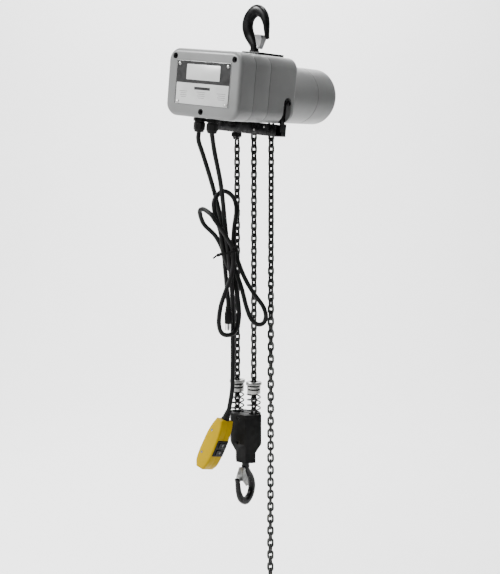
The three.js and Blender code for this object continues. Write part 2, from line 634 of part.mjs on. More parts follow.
const pendant = new THREE.Group();
pendant.position.copy(inCablePlane(PENDANT.u, PENDANT.d, PENDANT.z));
pendant.quaternion.setFromAxisAngle(inCablePlane(0, 1, 0), PENDANT.lean);
group.add(pendant);
pendant.updateMatrixWorld(true);

function pendantPoint(x, y, z) {
  return new THREE.Vector3(x, y, z).applyMatrix4(pendant.matrixWorld);
}

const CASE_OUTLINE = [
  [-4.5, 0], [-9, -14], [-11.7, -30], [-12.5, -45], [-12.5, -70], [-10.5, -85], [-5, -95.5],
  [5, -95.5], [10.5, -85], [12.5, -70], [12.5, -45], [11.7, -30], [9, -14], [4.5, 0],
];

function pendantShape(grow) {
  const middle = -48;
  return new THREE.Shape(CASE_OUTLINE.map(([x, z]) => (
    new THREE.Vector2(x + Math.sign(x) * grow, z + Math.sign(z - middle) * grow))));
}

function pendantCase(side) {
  const half = PENDANT.width / 2;
  const round = 3;
  const outer = roundedAlongY(pendantShape(0), -half, half, round);
  const inner = alongY(pendantShape(0), -half + PENDANT.wall + 1, half - PENDANT.wall - 1);
  const recess = boxBetween(10.9, 30, -16.4, 16.4, SWITCHES.bottom - 0.9, SWITCHES.top + 0.9);
  const keep = boxBetween(-40, 40, side > 0 ? GAP / 2 : -50, side > 0 ? 50 : -GAP / 2, -130, 20);
  return common(cut(outer, inner, recess), keep);
}

function switchPanel() {
  const { up, down, width, height, top, bottom } = SWITCHES;
  const plate = boxBetween(11.1, 17.1, -16, 16, bottom, top);
  const windows = [up, down].map((z) => boxBetween(
    9, 30, -width / 2 - 0.4, width / 2 + 0.4, z - height / 2 - 0.4, z + height / 2 + 0.4));
  return cut(plate, ...windows);
}

function pendantButton(z) {
  const { width, height } = SWITCHES;
  return boxBetween(9, 19, -width / 2, width / 2, z - height / 2, z + height / 2);
}

// ---------------------------------------------------------------- the assembly
function suspensionPlate() {
  const options = { depth: 5.8, bevelEnabled: false, curveSegments: 3 };
  const plan = new THREE.ExtrudeGeometry(roundRect(46, 78, 5, 0, 28), options);
  const slab = plan.translate(0, 0, BODY.top + GAP);
  return cut(slab, rodZ(HOOK_SHANK + 0.6, 0, 0, -80, -60));
}

add(body, 'front_cover', frontCover(), 'paint');
add(body, 'gear_case', gearCase(), 'paint');
add(body, 'rear_housing', rearHousing(), 'paint');
add(body, 'motor_shell', ringY(
  MOTOR.radius - MOTOR.wall, MOTOR.radius, MOTOR.x, MOTOR.z, BODY.back + GAP, MOTOR.seam, 32), 'paint');
add(body, 'motor_end_cap', motorEndCap(), 'paint');
add(body, 'nameplate', alongY(plateOutline(0), BODY.front - 0.4, BODY.front + 0.6), 'plate');
COVER_SCREWS.forEach(([x, z], i) => {
  const socket = rodY(2, x, z, BODY.front + 1, BODY.front + 5, 3);
  const head = cut(rodY(5, x, z, BODY.front + 2.5, BODY.front + 6.5, 6), socket);
  const shank = rodY(2, x, z, BODY.front + 6, BODY.coverBack + 4, 4);
  add(body, `cover_screw_${i + 1}`, join(head, shank), 'black');
});

add(body, 'suspension_plate', suspensionPlate(), 'black');
add(body, 'top_hook', hook(-94), 'black');
add(body, 'top_hook_nut', hookNut(-92, -80), 'steel');
add(body, 'top_hook_latch', latch(), 'zinc');

add(body, 'power_gland', gland(GLANDS.power), 'black');
add(body, 'control_gland', gland(GLANDS.control), 'black');
add(body, 'contactor', boxBetween(-52, -12, -137, -104, -128, -92), 'black');
add(body, 'run_capacitor', rodZ(15, 44, -120.5, -176, -104), 'steel');

add(body, 'load_sheave', loadSheave(), 'steel');
add(body, 'final_gear', finalGear(), 'steel');
add(body, 'layshaft', layshaft(), 'steel');
add(body, 'rotor', rotor(), 'steel');
add(body, 'brake_disc', ringY(4.8, 36, MOTOR.x, MOTOR.z, 158, 164), 'steel');
add(body, 'stator', ringY(26, MOTOR.radius - MOTOR.wall - GAP, MOTOR.x, MOTOR.z, 55, 125, 32), 'copper');
add(body, 'sheave_bearing_front', ringY(SHEAVE.shaft + GAP, 14, SHEAVE.x, SHEAVE.z, -55, -49), 'steel');
add(body, 'sheave_bearing_rear', ringY(SHEAVE.shaft + GAP, 14, SHEAVE.x, SHEAVE.z, 16.3, 23), 'steel');
add(body, 'rotor_bearing_front', ringY(4.8, 13, MOTOR.x, MOTOR.z, 19, 27), 'steel');
add(body, 'rotor_bearing_rear', ringY(4.8, 13, MOTOR.x, MOTOR.z, 190, 198), 'steel');

add(body, 'limit_bar', limitBar(), 'black');
add(body, 'limit_bar_screw_left', limitBarScrew(-1), 'zinc');
add(body, 'limit_bar_screw_right', limitBarScrew(1), 'zinc');

const anchorX = fallInBody(DEAD_X, -212);
add(body, 'chain_anchor', join(boxBetween(anchorX - 8.5, anchorX + 8.5, -7, 7, -206, -193.4),
  rodZ(8.5, anchorX, 0, -232, -205, 8)), 'black');

add(group, 'load_chain_upper', chainLoop(sheaveCentre, 1, FALL_JOIN_Z + GAP / 2, SLACK_END_Z), 'chain');
add(group, 'dead_fall_upper', straightFall(DEAD_X, FALL_JOIN_Z + GAP / 2, -234.5), 'chain');
add(group, 'load_chain_lower', chainLoop({ x: BLOCK_X, z: BLOCK.idler }, -1, FALL_JOIN_Z - GAP / 2,
  FALL_JOIN_Z - GAP / 2), 'chain');
add(group, 'chain_stop', rodZ(11, SLACK_X, 0, SLACK_END_Z - 10, SLACK_END_Z - GAP), 'black');

const block = new THREE.Group();
block.position.x = BLOCK_X;
group.add(block);
const caseSolid = blockCase();
add(block, 'block_case_front', cut(caseSolid, boxBetween(-50, 50, -GAP / 2, 50, -870, -740)), 'black');
add(block, 'block_case_rear', cut(caseSolid, boxBetween(-50, 50, -50, GAP / 2, -870, -740)), 'black');
for (const [name, [x, z]] of Object.entries(BLOCK_SCREWS)) {
  add(block, `block_screw_${name}`, blockScrew(x, z), 'steel');
}
add(block, 'idler_axle', rodY(5, 0, BLOCK.idler, -18.6, 18.6), 'steel');
add(block, 'idler_wheel', chainWheel(0, BLOCK.idler, 5.3), 'steel');
add(block, 'hook_bearing', turnedZ(
  ringProfile(HOOK_SHANK + GAP, 11.4, BLOCK.bottom + 6.3, BLOCK.bottom + 12), 20), 'steel');
add(block, 'load_hook_nut', hookNut(BLOCK.bottom + 12.4, BLOCK.bottom + 22), 'steel');
add(group, 'load_hook', asLoadHook(hook(-90)), 'black');
add(group, 'load_hook_latch', asLoadHook(latch()), 'zinc');
for (const [name, x] of [['left', DEAD_X], ['right', LIVE_X]]) {
  add(group, `cushion_cup_${name}`, cushionCup(x), 'zinc');
  add(group, `cushion_spring_${name}`, cushionSpring(x), 'black');
}

add(group, 'power_cord', powerCord(), 'cable');
add(group, 'cord_tie', cordTie(), 'black');
add(group, 'power_plug', powerPlug(), 'cable');
add(group, 'pendant_cable', tube(pendantCable(), CABLE_RADIUS, 10, 26), 'cable');
add(pendant, 'pendant_relief', turnedZ(
  [[0, 3 + GAP], [7.4, 3 + GAP], [7, 8], [5.4, PENDANT.reliefTop], [0, PENDANT.reliefTop]], 16), 'black');
add(pendant, 'pendant_case_left', pendantCase(-1), 'yellow');
add(pendant, 'pendant_case_right', pendantCase(1), 'yellow');
add(pendant, 'switch_panel', switchPanel(), 'black');
add(pendant, 'up_button', pendantButton(SWITCHES.up), 'black');
add(pendant, 'down_button', pendantButton(SWITCHES.down), 'black');

export default group;
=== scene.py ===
"""Looks for an electric chain hoist: two falls of chain, a hook block, a pendant and a power cord.

Lengths are millimetres until a piece is made, and metres from there on. The camera, the lights and
the stage are in metres throughout. Three frames are used: the hoist's own, the tilted one of the
casing, and the upright plane in which the cables hang.
"""
import math

import bmesh
import bpy
from mathutils import Matrix, Vector


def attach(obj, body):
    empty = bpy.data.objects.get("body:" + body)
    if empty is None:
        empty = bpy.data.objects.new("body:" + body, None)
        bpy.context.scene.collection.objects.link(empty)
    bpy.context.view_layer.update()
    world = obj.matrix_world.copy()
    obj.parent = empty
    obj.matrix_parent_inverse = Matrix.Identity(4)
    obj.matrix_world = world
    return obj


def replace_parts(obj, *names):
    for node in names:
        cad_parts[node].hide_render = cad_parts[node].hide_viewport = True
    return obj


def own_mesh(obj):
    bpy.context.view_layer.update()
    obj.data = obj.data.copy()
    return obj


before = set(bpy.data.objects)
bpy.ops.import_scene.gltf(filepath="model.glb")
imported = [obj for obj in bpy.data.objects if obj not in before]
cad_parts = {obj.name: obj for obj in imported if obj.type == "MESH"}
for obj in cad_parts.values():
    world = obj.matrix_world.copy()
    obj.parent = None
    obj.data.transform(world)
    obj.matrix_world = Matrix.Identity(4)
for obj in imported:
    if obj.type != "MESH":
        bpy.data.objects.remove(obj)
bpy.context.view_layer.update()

MM = 0.001
TILT, PLANE_TURN = math.radians(6.2), math.radians(36.7)
TILTED = Matrix.Rotation(TILT, 4, "Y")
CABLE_PLANE = Matrix.Rotation(PLANE_TURN, 4, "Z")
UPRIGHT = Matrix.Identity(4)
Z_TO_Y = Matrix.Rotation(math.radians(-90), 4, "X")
Z_TO_X = Matrix.Rotation(math.radians(90), 4, "Y")
Z_TO_FRONT = Matrix.Rotation(math.radians(90), 4, "X")

# ---------------------------------------------------------------- dimensions, in millimetres
CABLE_RADIUS = 4.3
CASE_WIDTH, CASE_TOP, CASE_BOTTOM, CASE_CORNER = 168, -72.5, -193, 23
COVER_FRONT, COVER_BACK, GEARCASE_BACK, HOUSING_BACK = -144, -102, -56.5, 28
MOTOR_RADIUS, MOTOR_Z, MOTOR_SEAM, MOTOR_END = 55, -140, 148, 216.5
COVER_SCREWS = [(-67.3, -86.7), (67.3, -86.7), (0, -182.2)]
PLATE_WIDTH, PLATE_HEIGHT, PLATE_Z = 123.6, 76.6, -132.2
GLAND_Y, POWER_GLAND_X, CONTROL_GLAND_X = -118, -21, 9
DEAD_X, LIVE_X, SLACK_X, BLOCK_X = -47.637, -7.637, 32.363, -27.637
SHEAVE_Z, IDLER_Z, FALL_RADIUS = -160.273, -789, 20
FALL_JOIN_Z, SLACK_END_Z, ANCHOR_Z = -480, -1098, -212
# The wire is drawn thicker than the 4 mm of the solids.
LINK_PITCH, LINK_WIDTH, LINK_WIRE = 12, 13.8, 4.4
LOAD_HOOK_Z = -920
# Along the middle of a hook's limb: x, z and half its width there.
HOOK_LINE = [
    (0, -62.4, 7), (0, -56, 7.2), (-6.5, -46, 7.8), (-15, -35, 8.4), (-20.5, -18, 9), (-15.5, -1, 9),
    (-1, 9.2, 9.4), (13.5, 3, 7.8), (21.8, -12, 5.6), (24.6, -26, 4.1), (25.9, -34, 3.5), (28, -39.5, 2.7),
]
LATCH_PIVOT, LATCH_END_Z = (11.2, -56.5), -35
BLOCK_RIM, BLOCK_SHOULDER, NECK_TOP, BLOCK_BOTTOM, NECK_SCALE = -753, -811, -830, -850, 0.64
CUP_BOTTOM, SPRING_RADIUS, SPRING_TURNS, CUSHION_TRAVEL = -713, 12.4, 3.8, 16
PENDANT_AT, PENDANT_LEAN = (-62, -32, -759), 23
PENDANT = (Matrix.Translation(CABLE_PLANE @ Vector(PENDANT_AT))
           @ Matrix.Rotation(math.radians(PENDANT_LEAN), 4, CABLE_PLANE @ Vector((0, 1, 0))))
POWER_ROUTE = [
    (-99, -60, -257), (-90, -52, -287), (-82, -41, -316), (-74, -36, -347), (-67, -36, -379),
    (-60, -38, -411), (-51, -41, -442), (-40, -46, -472), (-29, -51, -503), (-21, -57, -534),
    (-12, -61, -558), (-3, -57, -568), (5, -51, -571), (12, -42, -569), (16, -34, -562),
    (16, -28, -554), (11, -26, -540), (-7, -31, -514), (-23, -35, -486), (-35, -38, -456),
    (-44, -38, -425), (-43, -32, -392), (-39, -28, -362), (-40, -26, -347), (-46, -31, -333),
    (-58, -39, -324), (-66, -45, -324), (-76, -53, -334), (-80, -56, -344), (-78, -56, -364),
    (-69, -52, -394), (-64, -49, -425), (-56, -42, -458), (-43, -36, -487), (-37, -37, -519),
    (-34, -36, -551), (-36, -36, -573), (-40, -38, -583), (-47, -44, -590), (-60, -55, -590),
    (-67, -61, -584), (-71, -65, -569), (-68, -64, -537), (-58, -61, -506), (-47, -59, -475),
    (-44, -56, -443), (-46, -57, -428), (-61, -64, -400), (-78, -70, -375), (-84, -69, -366),
    (-95, -59, -358), (-101, -51, -356), (-106, -43, -359), (-105, -32, -372), (-99, -27, -386),
    (-78, -32, -407), (-64, -36, -435), (-60, -34, -468), (-57, -41, -500), (-54, -45, -531),
]
PENDANT_ROUTE = [
    (-78, -76, -250), (-68, -65, -303), (-64, -60, -335), (-59, -53, -389), (-53, -52, -443),
    (-49, -47, -481), (-46, -32, -534), (-46, -31, -582), (-46, -31, -639), (-47, -32, -692),
    (-48, -32, -704),
]
PLUG_U, PLUG_D, PLUG_TOP, PLUG_BOTTOM = -54, -46, -538, -570
TIE_U, TIE_D, TIE_Z, TIE_LEAN = -52.7, -46, -436, 14


# ---------------------------------------------------------------- camera
def make_camera():
    camera = bpy.data.objects.new("camera", bpy.data.cameras.new("camera"))
    bpy.context.scene.collection.objects.link(camera)
    camera.data.sensor_width = 36
    camera.data.lens = 70.52
    camera.location = (1.2617, -1.7128, -0.2689)
    camera.rotation_mode = "QUATERNION"
    camera.rotation_quaternion = Vector((-0.5945, 0.7964, -0.1109)).to_track_quat("-Z", "Y")
    bpy.context.scene.camera = camera


# ---------------------------------------------------------------- materials
class Surface:
    """A procedural material, built up by adding one effect after another to its shader."""

    def __init__(self, name, colour, roughness, metallic=0.0, **sockets):
        self.material = bpy.data.materials.new(name)
        self.material.use_nodes = True
        self.nodes = self.material.node_tree.nodes
        self.links = self.material.node_tree.links
        self.shader = self.nodes["Principled BSDF"]
        self.colour = (*colour, 1)
        self.shader.inputs["Base Color"].default_value = self.colour
        self.shader.inputs["Roughness"].default_value = roughness
        self.shader.inputs["Metallic"].default_value = metallic
        for socket, value in sockets.items():
            self.shader.inputs[socket.replace("_", " ")].default_value = value
        self.place = self.nodes.new("ShaderNodeTexCoord").outputs["Object"]
        self.relief = None

    def noise(self, scale, detail=4.0, stretch=None):
        place = self.place
        if stretch:
            mapping = self.nodes.new("ShaderNodeMapping")
            mapping.inputs["Scale"].default_value = stretch
            self.links.new(place, mapping.inputs["Vector"])
            place = mapping.outputs["Vector"]
        texture = self.nodes.new("ShaderNodeTexNoise")
        texture.inputs["Scale"].default_value = scale
        texture.inputs["Detail"].default_value = detail
        self.links.new(place, texture.inputs["Vector"])
        return texture.outputs["Fac"]

    def remap(self, value, low, high, start=0.0, end=1.0):
        node = self.nodes.new("ShaderNodeMapRange")
        for socket, number in (("From Min", low), ("From Max", high), ("To Min", start), ("To Max", end)):
            node.inputs[socket].default_value = number
        self.links.new(value, node.inputs["Value"])
        return node.outputs["Result"]

    def tint(self, factor, colour):
        """Mixes another colour over the present one."""
        mix = self.nodes.new("ShaderNodeMix")
        mix.data_type = "RGBA"
        socket = self.shader.inputs["Base Color"]
        if socket.is_linked:
            self.links.new(socket.links[0].from_socket, mix.inputs["A"])
        else:
            mix.inputs["A"].default_value = self.colour
        mix.inputs["B"].default_value = (*colour, 1)
        self.links.new(factor, mix.inputs["Factor"])
        self.links.new(mix.outputs["Result"], socket)
        return self

    def mottle(self, colour, scale, low=0.4, high=0.65, stretch=None):
        return self.tint(self.remap(self.noise(scale, stretch=stretch), low, high), colour)

    def vary_roughness(self, low, high, scale, stretch=None):
        result = self.remap(self.noise(scale, stretch=stretch), 0.3, 0.7, low, high)
        self.links.new(result, self.shader.inputs["Roughness"])
        return self

    def bump(self, scale, strength, distance=0.0003, stretch=None, detail=4.0):
        return self.raise_by(self.noise(scale, detail, stretch), strength, distance)

    def raise_by(self, height, strength, distance):
        node = self.nodes.new("ShaderNodeBump")
        node.inputs["Strength"].default_value = strength
        node.inputs["Distance"].default_value = distance
        self.links.new(height, node.inputs["Height"])
        if self.relief:
            self.links.new(self.relief, node.inputs["Normal"])
        self.relief = node.outputs["Normal"]
        self.links.new(self.relief, self.shader.inputs["Normal"])
        return self

    def worn_edges(self, colour, low=0.53, high=0.6):
        """Rubs convex edges to another colour, broken up by noise."""
        edge = self.remap(self.nodes.new("ShaderNodeNewGeometry").outputs["Pointiness"], low, high)
        patches = self.remap(self.noise(90, 6), 0.42, 0.6)
        both = self.nodes.new("ShaderNodeMath")
        both.operation = "MULTIPLY"
        self.links.new(edge, both.inputs[0])
        self.links.new(patches, both.inputs[1])
        return self.tint(both.outputs[0], colour)


def casing_paint():
    paint = Surface("casing_paint", (0.105, 0.107, 0.106), 0.28, 0.0, Specular_IOR_Level=0.3)
    paint.mottle((0.125, 0.127, 0.126), 9).mottle((0.085, 0.0865, 0.086), 2600, 0.55, 0.75)
    paint.vary_roughness(0.3, 0.42, 30)
    return paint.bump(420, 0.12, 0.0002).bump(1800, 0.06, 0.0001).material


def dark(name, colour, roughness, sheen, **sockets):
    """A near-black surface with a weak reflection, so that it stays dark under strong soft light."""
    return Surface(name, colour, roughness, 0.0, Specular_IOR_Level=sheen, **sockets)


def black_paint():
    paint = dark("black_semi_gloss", (0.002, 0.002, 0.0021), 0.28, 0.12)
    paint.mottle((0.004, 0.004, 0.0042), 60).worn_edges((0.02, 0.02, 0.021))
    return paint.vary_roughness(0.2, 0.36, 70).bump(500, 0.15, 0.0002).material


def black_casting():
    paint = dark("black_casting", (0.002, 0.0021, 0.0021), 0.42, 0.07)
    paint.mottle((0.004, 0.0042, 0.0042), 120).worn_edges((0.016, 0.016, 0.0165))
    return paint.vary_roughness(0.36, 0.56, 90).bump(900, 0.35, 0.0004).bump(140, 0.15, 0.0005).material


def zinc_plate():
    plate = Surface("zinc_plate", (0.34, 0.34, 0.332), 0.3, 0.85)
    plate.mottle((0.22, 0.223, 0.22), 110).mottle((0.42, 0.415, 0.4), 35, 0.5, 0.75)
    return plate.vary_roughness(0.22, 0.4, 150).bump(700, 0.08, 0.0001).material


def machined_steel():
    steel = Surface("machined_steel", (0.3, 0.3, 0.3), 0.34, 0.9)
    steel.mottle((0.2, 0.2, 0.21), 80)
    return steel.vary_roughness(0.26, 0.45, 200, (1, 8, 1)).bump(900, 0.12, 0.0001, (1, 6, 1)).material


def chain_steel():
    steel = Surface("chain_steel", (0.025, 0.026, 0.025), 0.36, 0.5, Specular_IOR_Level=0.1)
    steel.mottle((0.012, 0.012, 0.0125), 160).mottle((0.08, 0.08, 0.078), 300, 0.6, 0.75)
    return steel.vary_roughness(0.28, 0.46, 220).bump(800, 0.2, 0.0002).material


def spring_steel():
    steel = Surface("spring_steel", (0.02, 0.02, 0.0205), 0.4, 0.0, Specular_IOR_Level=0.08)
    steel.mottle((0.01, 0.01, 0.0103), 180)
    return steel.vary_roughness(0.28, 0.44, 240).bump(900, 0.15, 0.0001).material


def copper_winding():
    wire = Surface("copper_winding", (0.45, 0.16, 0.06), 0.4, 0.8)
    return wire.mottle((0.3, 0.1, 0.04), 60).bump(500, 0.4, 0.0004, (1, 1, 6)).material


def cable_rubber():
    rubber = dark("cable_rubber", (0.003, 0.003, 0.0031), 0.48, 0.12)
    rubber.mottle((0.006, 0.006, 0.006), 45)
    return rubber.vary_roughness(0.42, 0.6, 60).bump(1400, 0.12, 0.0001).bump(60, 0.1, 0.0004).material


def black_plastic():
    plastic = dark("black_plastic", (0.0025, 0.0025, 0.0025), 0.44, 0.1)
    plastic.mottle((0.006, 0.006, 0.006), 70)
    return plastic.vary_roughness(0.36, 0.53, 120).bump(1600, 0.2, 0.0001).material


def yellow_plastic():
    plastic = Surface("yellow_plastic", (0.29, 0.19, 0.0), 0.5, 0.0, Specular_IOR_Level=0.04)
    plastic.mottle((0.265, 0.173, 0.0), 25).mottle((0.31, 0.203, 0.0), 400, 0.55, 0.8)
    return plastic.vary_roughness(0.36, 0.5, 60).bump(1500, 0.14, 0.0001).material


def plate_film():
    film = Surface("plate_film", (0.36, 0.364, 0.36), 0.32, 0.1)
    film.mottle((0.32, 0.324, 0.32), 40)
    return film.vary_roughness(0.27, 0.4, 90, (1, 1, 12)).bump(900, 0.05, 0.0001, (1, 1, 12)).material


def ink(name, colour, other, roughness):
    print_ink = dark(name, colour, roughness, 0.25)
    print_ink.mottle(other, 180).vary_roughness(roughness - 0.06, roughness + 0.08, 120)
    return print_ink.bump(1200, 0.06).material


def pale_stage():
    pale = Surface("pale_stage", (0.93, 0.93, 0.93), 0.9, 0.0)
    return pale.mottle((0.92, 0.92, 0.92), 3).bump(40, 0.02, 0.001).material


# ---------------------------------------------------------------- mesh helpers
def link(name, data, material, body):
    piece = bpy.data.objects.new(name, data)
    bpy.context.scene.collection.objects.link(piece)
    piece.data.materials.append(material)
    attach(piece, body)
    return piece


def turn_outward(mesh):
    shape = bmesh.new()
    shape.from_mesh(mesh)
    bmesh.ops.recalc_face_normals(shape, faces=shape.faces)
    shape.to_mesh(mesh)
    shape.free()


def make(name, shapes, material, body, place=UPRIGHT, crease=35):
    """One mesh from (vertices, faces) lists in millimetres, placed by a matrix in millimetres."""
    vertices, faces = [], []
    for points, polygons in shapes:
        start = len(vertices)
        vertices += [MM * (place @ Vector(p)) for p in points]
        faces += [[start + i for i in polygon] for polygon in polygons]
    mesh = bpy.data.meshes.new(name)
    mesh.from_pydata(vertices, [], faces)
    mesh.validate()
    turn_outward(mesh)
    mesh.shade_smooth()
    mesh.set_sharp_from_angle(angle=math.radians(crease))
    return link(name, mesh, material, body)


def loft(loops, caps=True, closed=False):
    """Faces between loops of equal length, with flat ends, or joined end to end."""
    count = len(loops[0])
    points = [p for loop in loops for p in loop]
    faces = []
    rows = len(loops) if closed else len(loops) - 1
    for row in range(rows):
        a, b = row * count, (row + 1) % len(loops) * count
        faces += [[a + i, a + (i + 1) % count, b + (i + 1) % count, b + i] for i in range(count)]
    if caps and not closed:
        faces.append(list(reversed(range(count))))
        faces.append([(len(loops) - 1) * count + i for i in range(count)])
    return points, faces


def moved(shape, x=0, y=0, z=0, turn=None):
    matrix = Matrix.Translation((x, y, z)) @ (turn or UPRIGHT)
    return [matrix @ Vector(p) for p in shape[0]], shape[1]


def arc(radius, x, z, start, end, steps):
    angles = [math.radians(start + (end - start) * i / steps) for i in range(steps + 1)]
    return [(x + radius * math.cos(a), z + radius * math.sin(a)) for a in angles]


def round_rect(width, height, radius, x=0, z=0, steps=8):
    w, h = width / 2 - radius, height / 2 - radius
    return (arc(radius, x + w, z + h, 0, 90, steps) + arc(radius, x - w, z + h, 90, 180, steps)
            + arc(radius, x - w, z - h, 180, 270, steps) + arc(radius, x + w, z - h, 270, 360, steps))


def polygon_ring(radius, sides, count, corner=0.0):
    """A circle, or a polygon of that inner radius with rounded corners, as count points."""
    points = []
    for i in range(count):
        angle = 2 * math.pi * i / count
        if sides:
            part = math.pi / sides
            offset = (angle + part) % (2 * part) - part
            reach = min(radius / math.cos(offset), radius / math.cos(part) - corner)
        else:
            reach = radius
        points.append((reach * math.cos(angle), reach * math.sin(angle)))
    return points


def along_y(outline, y):
    return [(x, y, z) for x, z in outline]


def prism_y(outline_at, y0, y1, round0, round1, steps=5):
    """Extrudes outline_at(inset) from y0 to y1 with quarter-round edges of those radii."""
    loops = []
    for step in range(steps + 1 if round0 else 1):
        angle = math.pi / 2 * step / steps
        loops.append(along_y(outline_at(round0 * (1 - math.sin(angle))), y0 + round0 * (1 - math.cos(angle))))
    for step in range(steps + 1 if round1 else 1):
        angle = math.pi / 2 * step / steps
        loops.append(along_y(outline_at(round1 * (1 - math.cos(angle))), y1 - round1 * (1 - math.sin(angle))))
    return loops


def turned(profile, sides=40, caps=True):
    """Turns [radius, height] points about Z."""
    loops = []
    for radius, height in profile:
        loops.append([(max(radius, 0.01) * math.cos(2 * math.pi * i / sides),
                       max(radius, 0.01) * math.sin(2 * math.pi * i / sides), height) for i in range(sides)])
    return loft(loops, caps)


def turned_ring(profile, sides):
    """Turns a closed profile about Z into a ring."""
    points, faces = turned(profile, sides, False)
    last = (len(profile) - 1) * sides
    faces += [[i, (i + 1) % sides, last + (i + 1) % sides, last + i] for i in range(sides)]
    return points, faces


def box(x0, x1, y0, y1, z0, z1):
    return loft([[(x0, y0, z), (x1, y0, z), (x1, y1, z), (x0, y1, z)] for z in (z0, z1)])


def ring_frames(points, closed=False):
    """A pair of cross directions at each point that turns as little as possible along the line."""
    count = len(points)
    tangents = []
    for i in range(count):
        before = points[i - 1] if i or closed else points[0]
        after = points[(i + 1) % count] if i < count - 1 or closed else points[-1]
        tangents.append((after - before).normalized())
    side = tangents[0].orthogonal().normalized()
    frames = []
    for tangent in tangents:
        side = (side - tangent * side.dot(tangent)).normalized()
        frames.append((side, tangent.cross(side)))
    return frames


def tube(points, radius, sides=10, closed=False):
    points = [Vector(p) for p in points]
    angles = [2 * math.pi * i / sides for i in range(sides)]
    loops = []
    for point, (side, up) in zip(points, ring_frames(points, closed)):
        loops.append([point + radius * (math.cos(a) * side + math.sin(a) * up) for a in angles])
    return loft(loops, closed=closed)


def smooth_line(points, steps=8):
    """A centripetal Catmull-Rom line through the points, as the CAD routes use."""
    points = [Vector(p) for p in points]
    ends = [2 * points[0] - points[1], *points, 2 * points[-1] - points[-2]]
    line = []
    for p0, p1, p2, p3 in zip(ends, ends[1:], ends[2:], ends[3:]):
        d0, d1, d2 = (math.sqrt((b - a).length) for a, b in ((p0, p1), (p1, p2), (p2, p3)))
        t1 = ((p1 - p0) / d0 - (p2 - p0) / (d0 + d1) + (p2 - p1) / d1) * d1
        t2 = ((p2 - p1) / d1 - (p3 - p1) / (d1 + d2) + (p3 - p2) / d2) * d1
        square = 3 * (p2 - p1) - 2 * t1 - t2
        cube = 2 * (p1 - p2) + t1 + t2
        for step in range(steps):
            t = step / steps
            line.append(p1 + t1 * t + square * t ** 2 + cube * t ** 3)
    return [*line, points[-1]]


def soften(piece, width, segments=3, angle=30):
    """Rounds a piece's edges with a bevel."""
    bevel = piece.modifiers.new("edges", "BEVEL")
    bevel.width = width * MM
    bevel.segments = segments
    bevel.limit_method = "ANGLE"
    bevel.angle_limit = math.radians(angle)
    return piece


def carve(piece, cutters, place=UPRIGHT):
    """Cuts closed shapes out of a piece."""
    for shape in cutters:
        mesh = bpy.data.meshes.new("cutter")
        mesh.from_pydata([MM * (place @ Vector(p)) for p in shape[0]], [], shape[1])
        turn_outward(mesh)
        tool = bpy.data.objects.new("cutter", mesh)
        bpy.context.scene.collection.objects.link(tool)
        cut = piece.modifiers.new("cut", "BOOLEAN")
        cut.object = tool
        cut.solver = "EXACT"
        bpy.context.view_layer.update()
        evaluated = piece.evaluated_get(bpy.context.evaluated_depsgraph_get())
        result = bpy.data.meshes.new_from_object(evaluated)
        piece.modifiers.remove(cut)
        piece.data = result
        bpy.data.objects.remove(tool)
    piece.data.shade_smooth()
    piece.data.set_sharp_from_angle(angle=math.radians(35))
    return piece


def refine(node, material, width=0.0):
    """Gives a CAD node its finish and, where it shows, eased edges."""
    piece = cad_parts[node]
    piece.data.materials.clear()
    piece.data.materials.append(material)
    piece.data.shade_smooth()
    piece.data.set_sharp_from_angle(angle=math.radians(30))
    if width:
        weld = piece.modifiers.new("weld", "WELD")
        weld.merge_threshold = 1e-6
        soften(piece, width, 2)


# ---------------------------------------------------------------- cords
def cord_curve(name, points, material):
    curve = bpy.data.curves.new(name, "CURVE")
    curve.dimensions = "3D"
    curve.bevel_depth = CABLE_RADIUS * MM
    curve.bevel_resolution = 5
    curve.use_fill_caps = True
    line = smooth_line(points)
    spline = curve.splines.new("POLY")
    spline.points.add(len(line) - 1)
    for target, point in zip(spline.points, line):
        target.co = (*(point * MM), 1)
    spline.use_smooth = True
    return link(name, curve, material, "hoist")


def power_plug(rubber, metal):
    middle = CABLE_PLANE @ Matrix.Translation((PLUG_U, PLUG_D, 0))
    stations = [(PLUG_TOP, 5.2, 5.2, 5), (PLUG_TOP - 2, 5.6, 5.6, 5), (PLUG_TOP - 2.4, 4.9, 4.9, 4.5),
                (PLUG_TOP - 4, 4.9, 4.9, 4.5), (PLUG_TOP - 4.4, 5.8, 5.8, 5.2),
                (PLUG_TOP - 6.4, 5.9, 6, 5.2), (PLUG_TOP - 6.8, 5.2, 5.2, 4.5),
                (PLUG_TOP - 8.2, 5.4, 5.4, 4.5), (PLUG_TOP - 9, 6.4, 6.8, 4.5),
                (PLUG_TOP - 12, 7, 8, 3.5), (PLUG_BOTTOM + 3, 7, 8, 3), (PLUG_BOTTOM + 0.8, 6.8, 7.8, 3),
                (PLUG_BOTTOM, 6, 7, 2.6)]
    loops = [[(x, y, z) for x, y in round_rect(2 * a, 2 * b, r)] for z, a, b, r in reversed(stations)]
    shell = make("power_plug_shell", [loft(loops)], rubber, "hoist", middle)
    root, blade_end, earth_end = PLUG_BOTTOM + 1, PLUG_BOTTOM - 12, PLUG_BOTTOM - 14
    blades = [box(side * 4.5 - 0.75, side * 4.5 + 0.75, -5, 1, blade_end, root) for side in (-1, 1)]
    pin = [(0, earth_end), (1.4, earth_end + 0.4), (2.3, blade_end), (2.3, root), (0, root)]
    earth = moved(turned(pin, 20), y=4.5)
    pins = make("power_plug_pins", [*blades, earth], metal, "hoist", middle)
    soften(pins, 0.3, 2)
    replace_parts(shell, "power_plug")
    return [shell, pins]


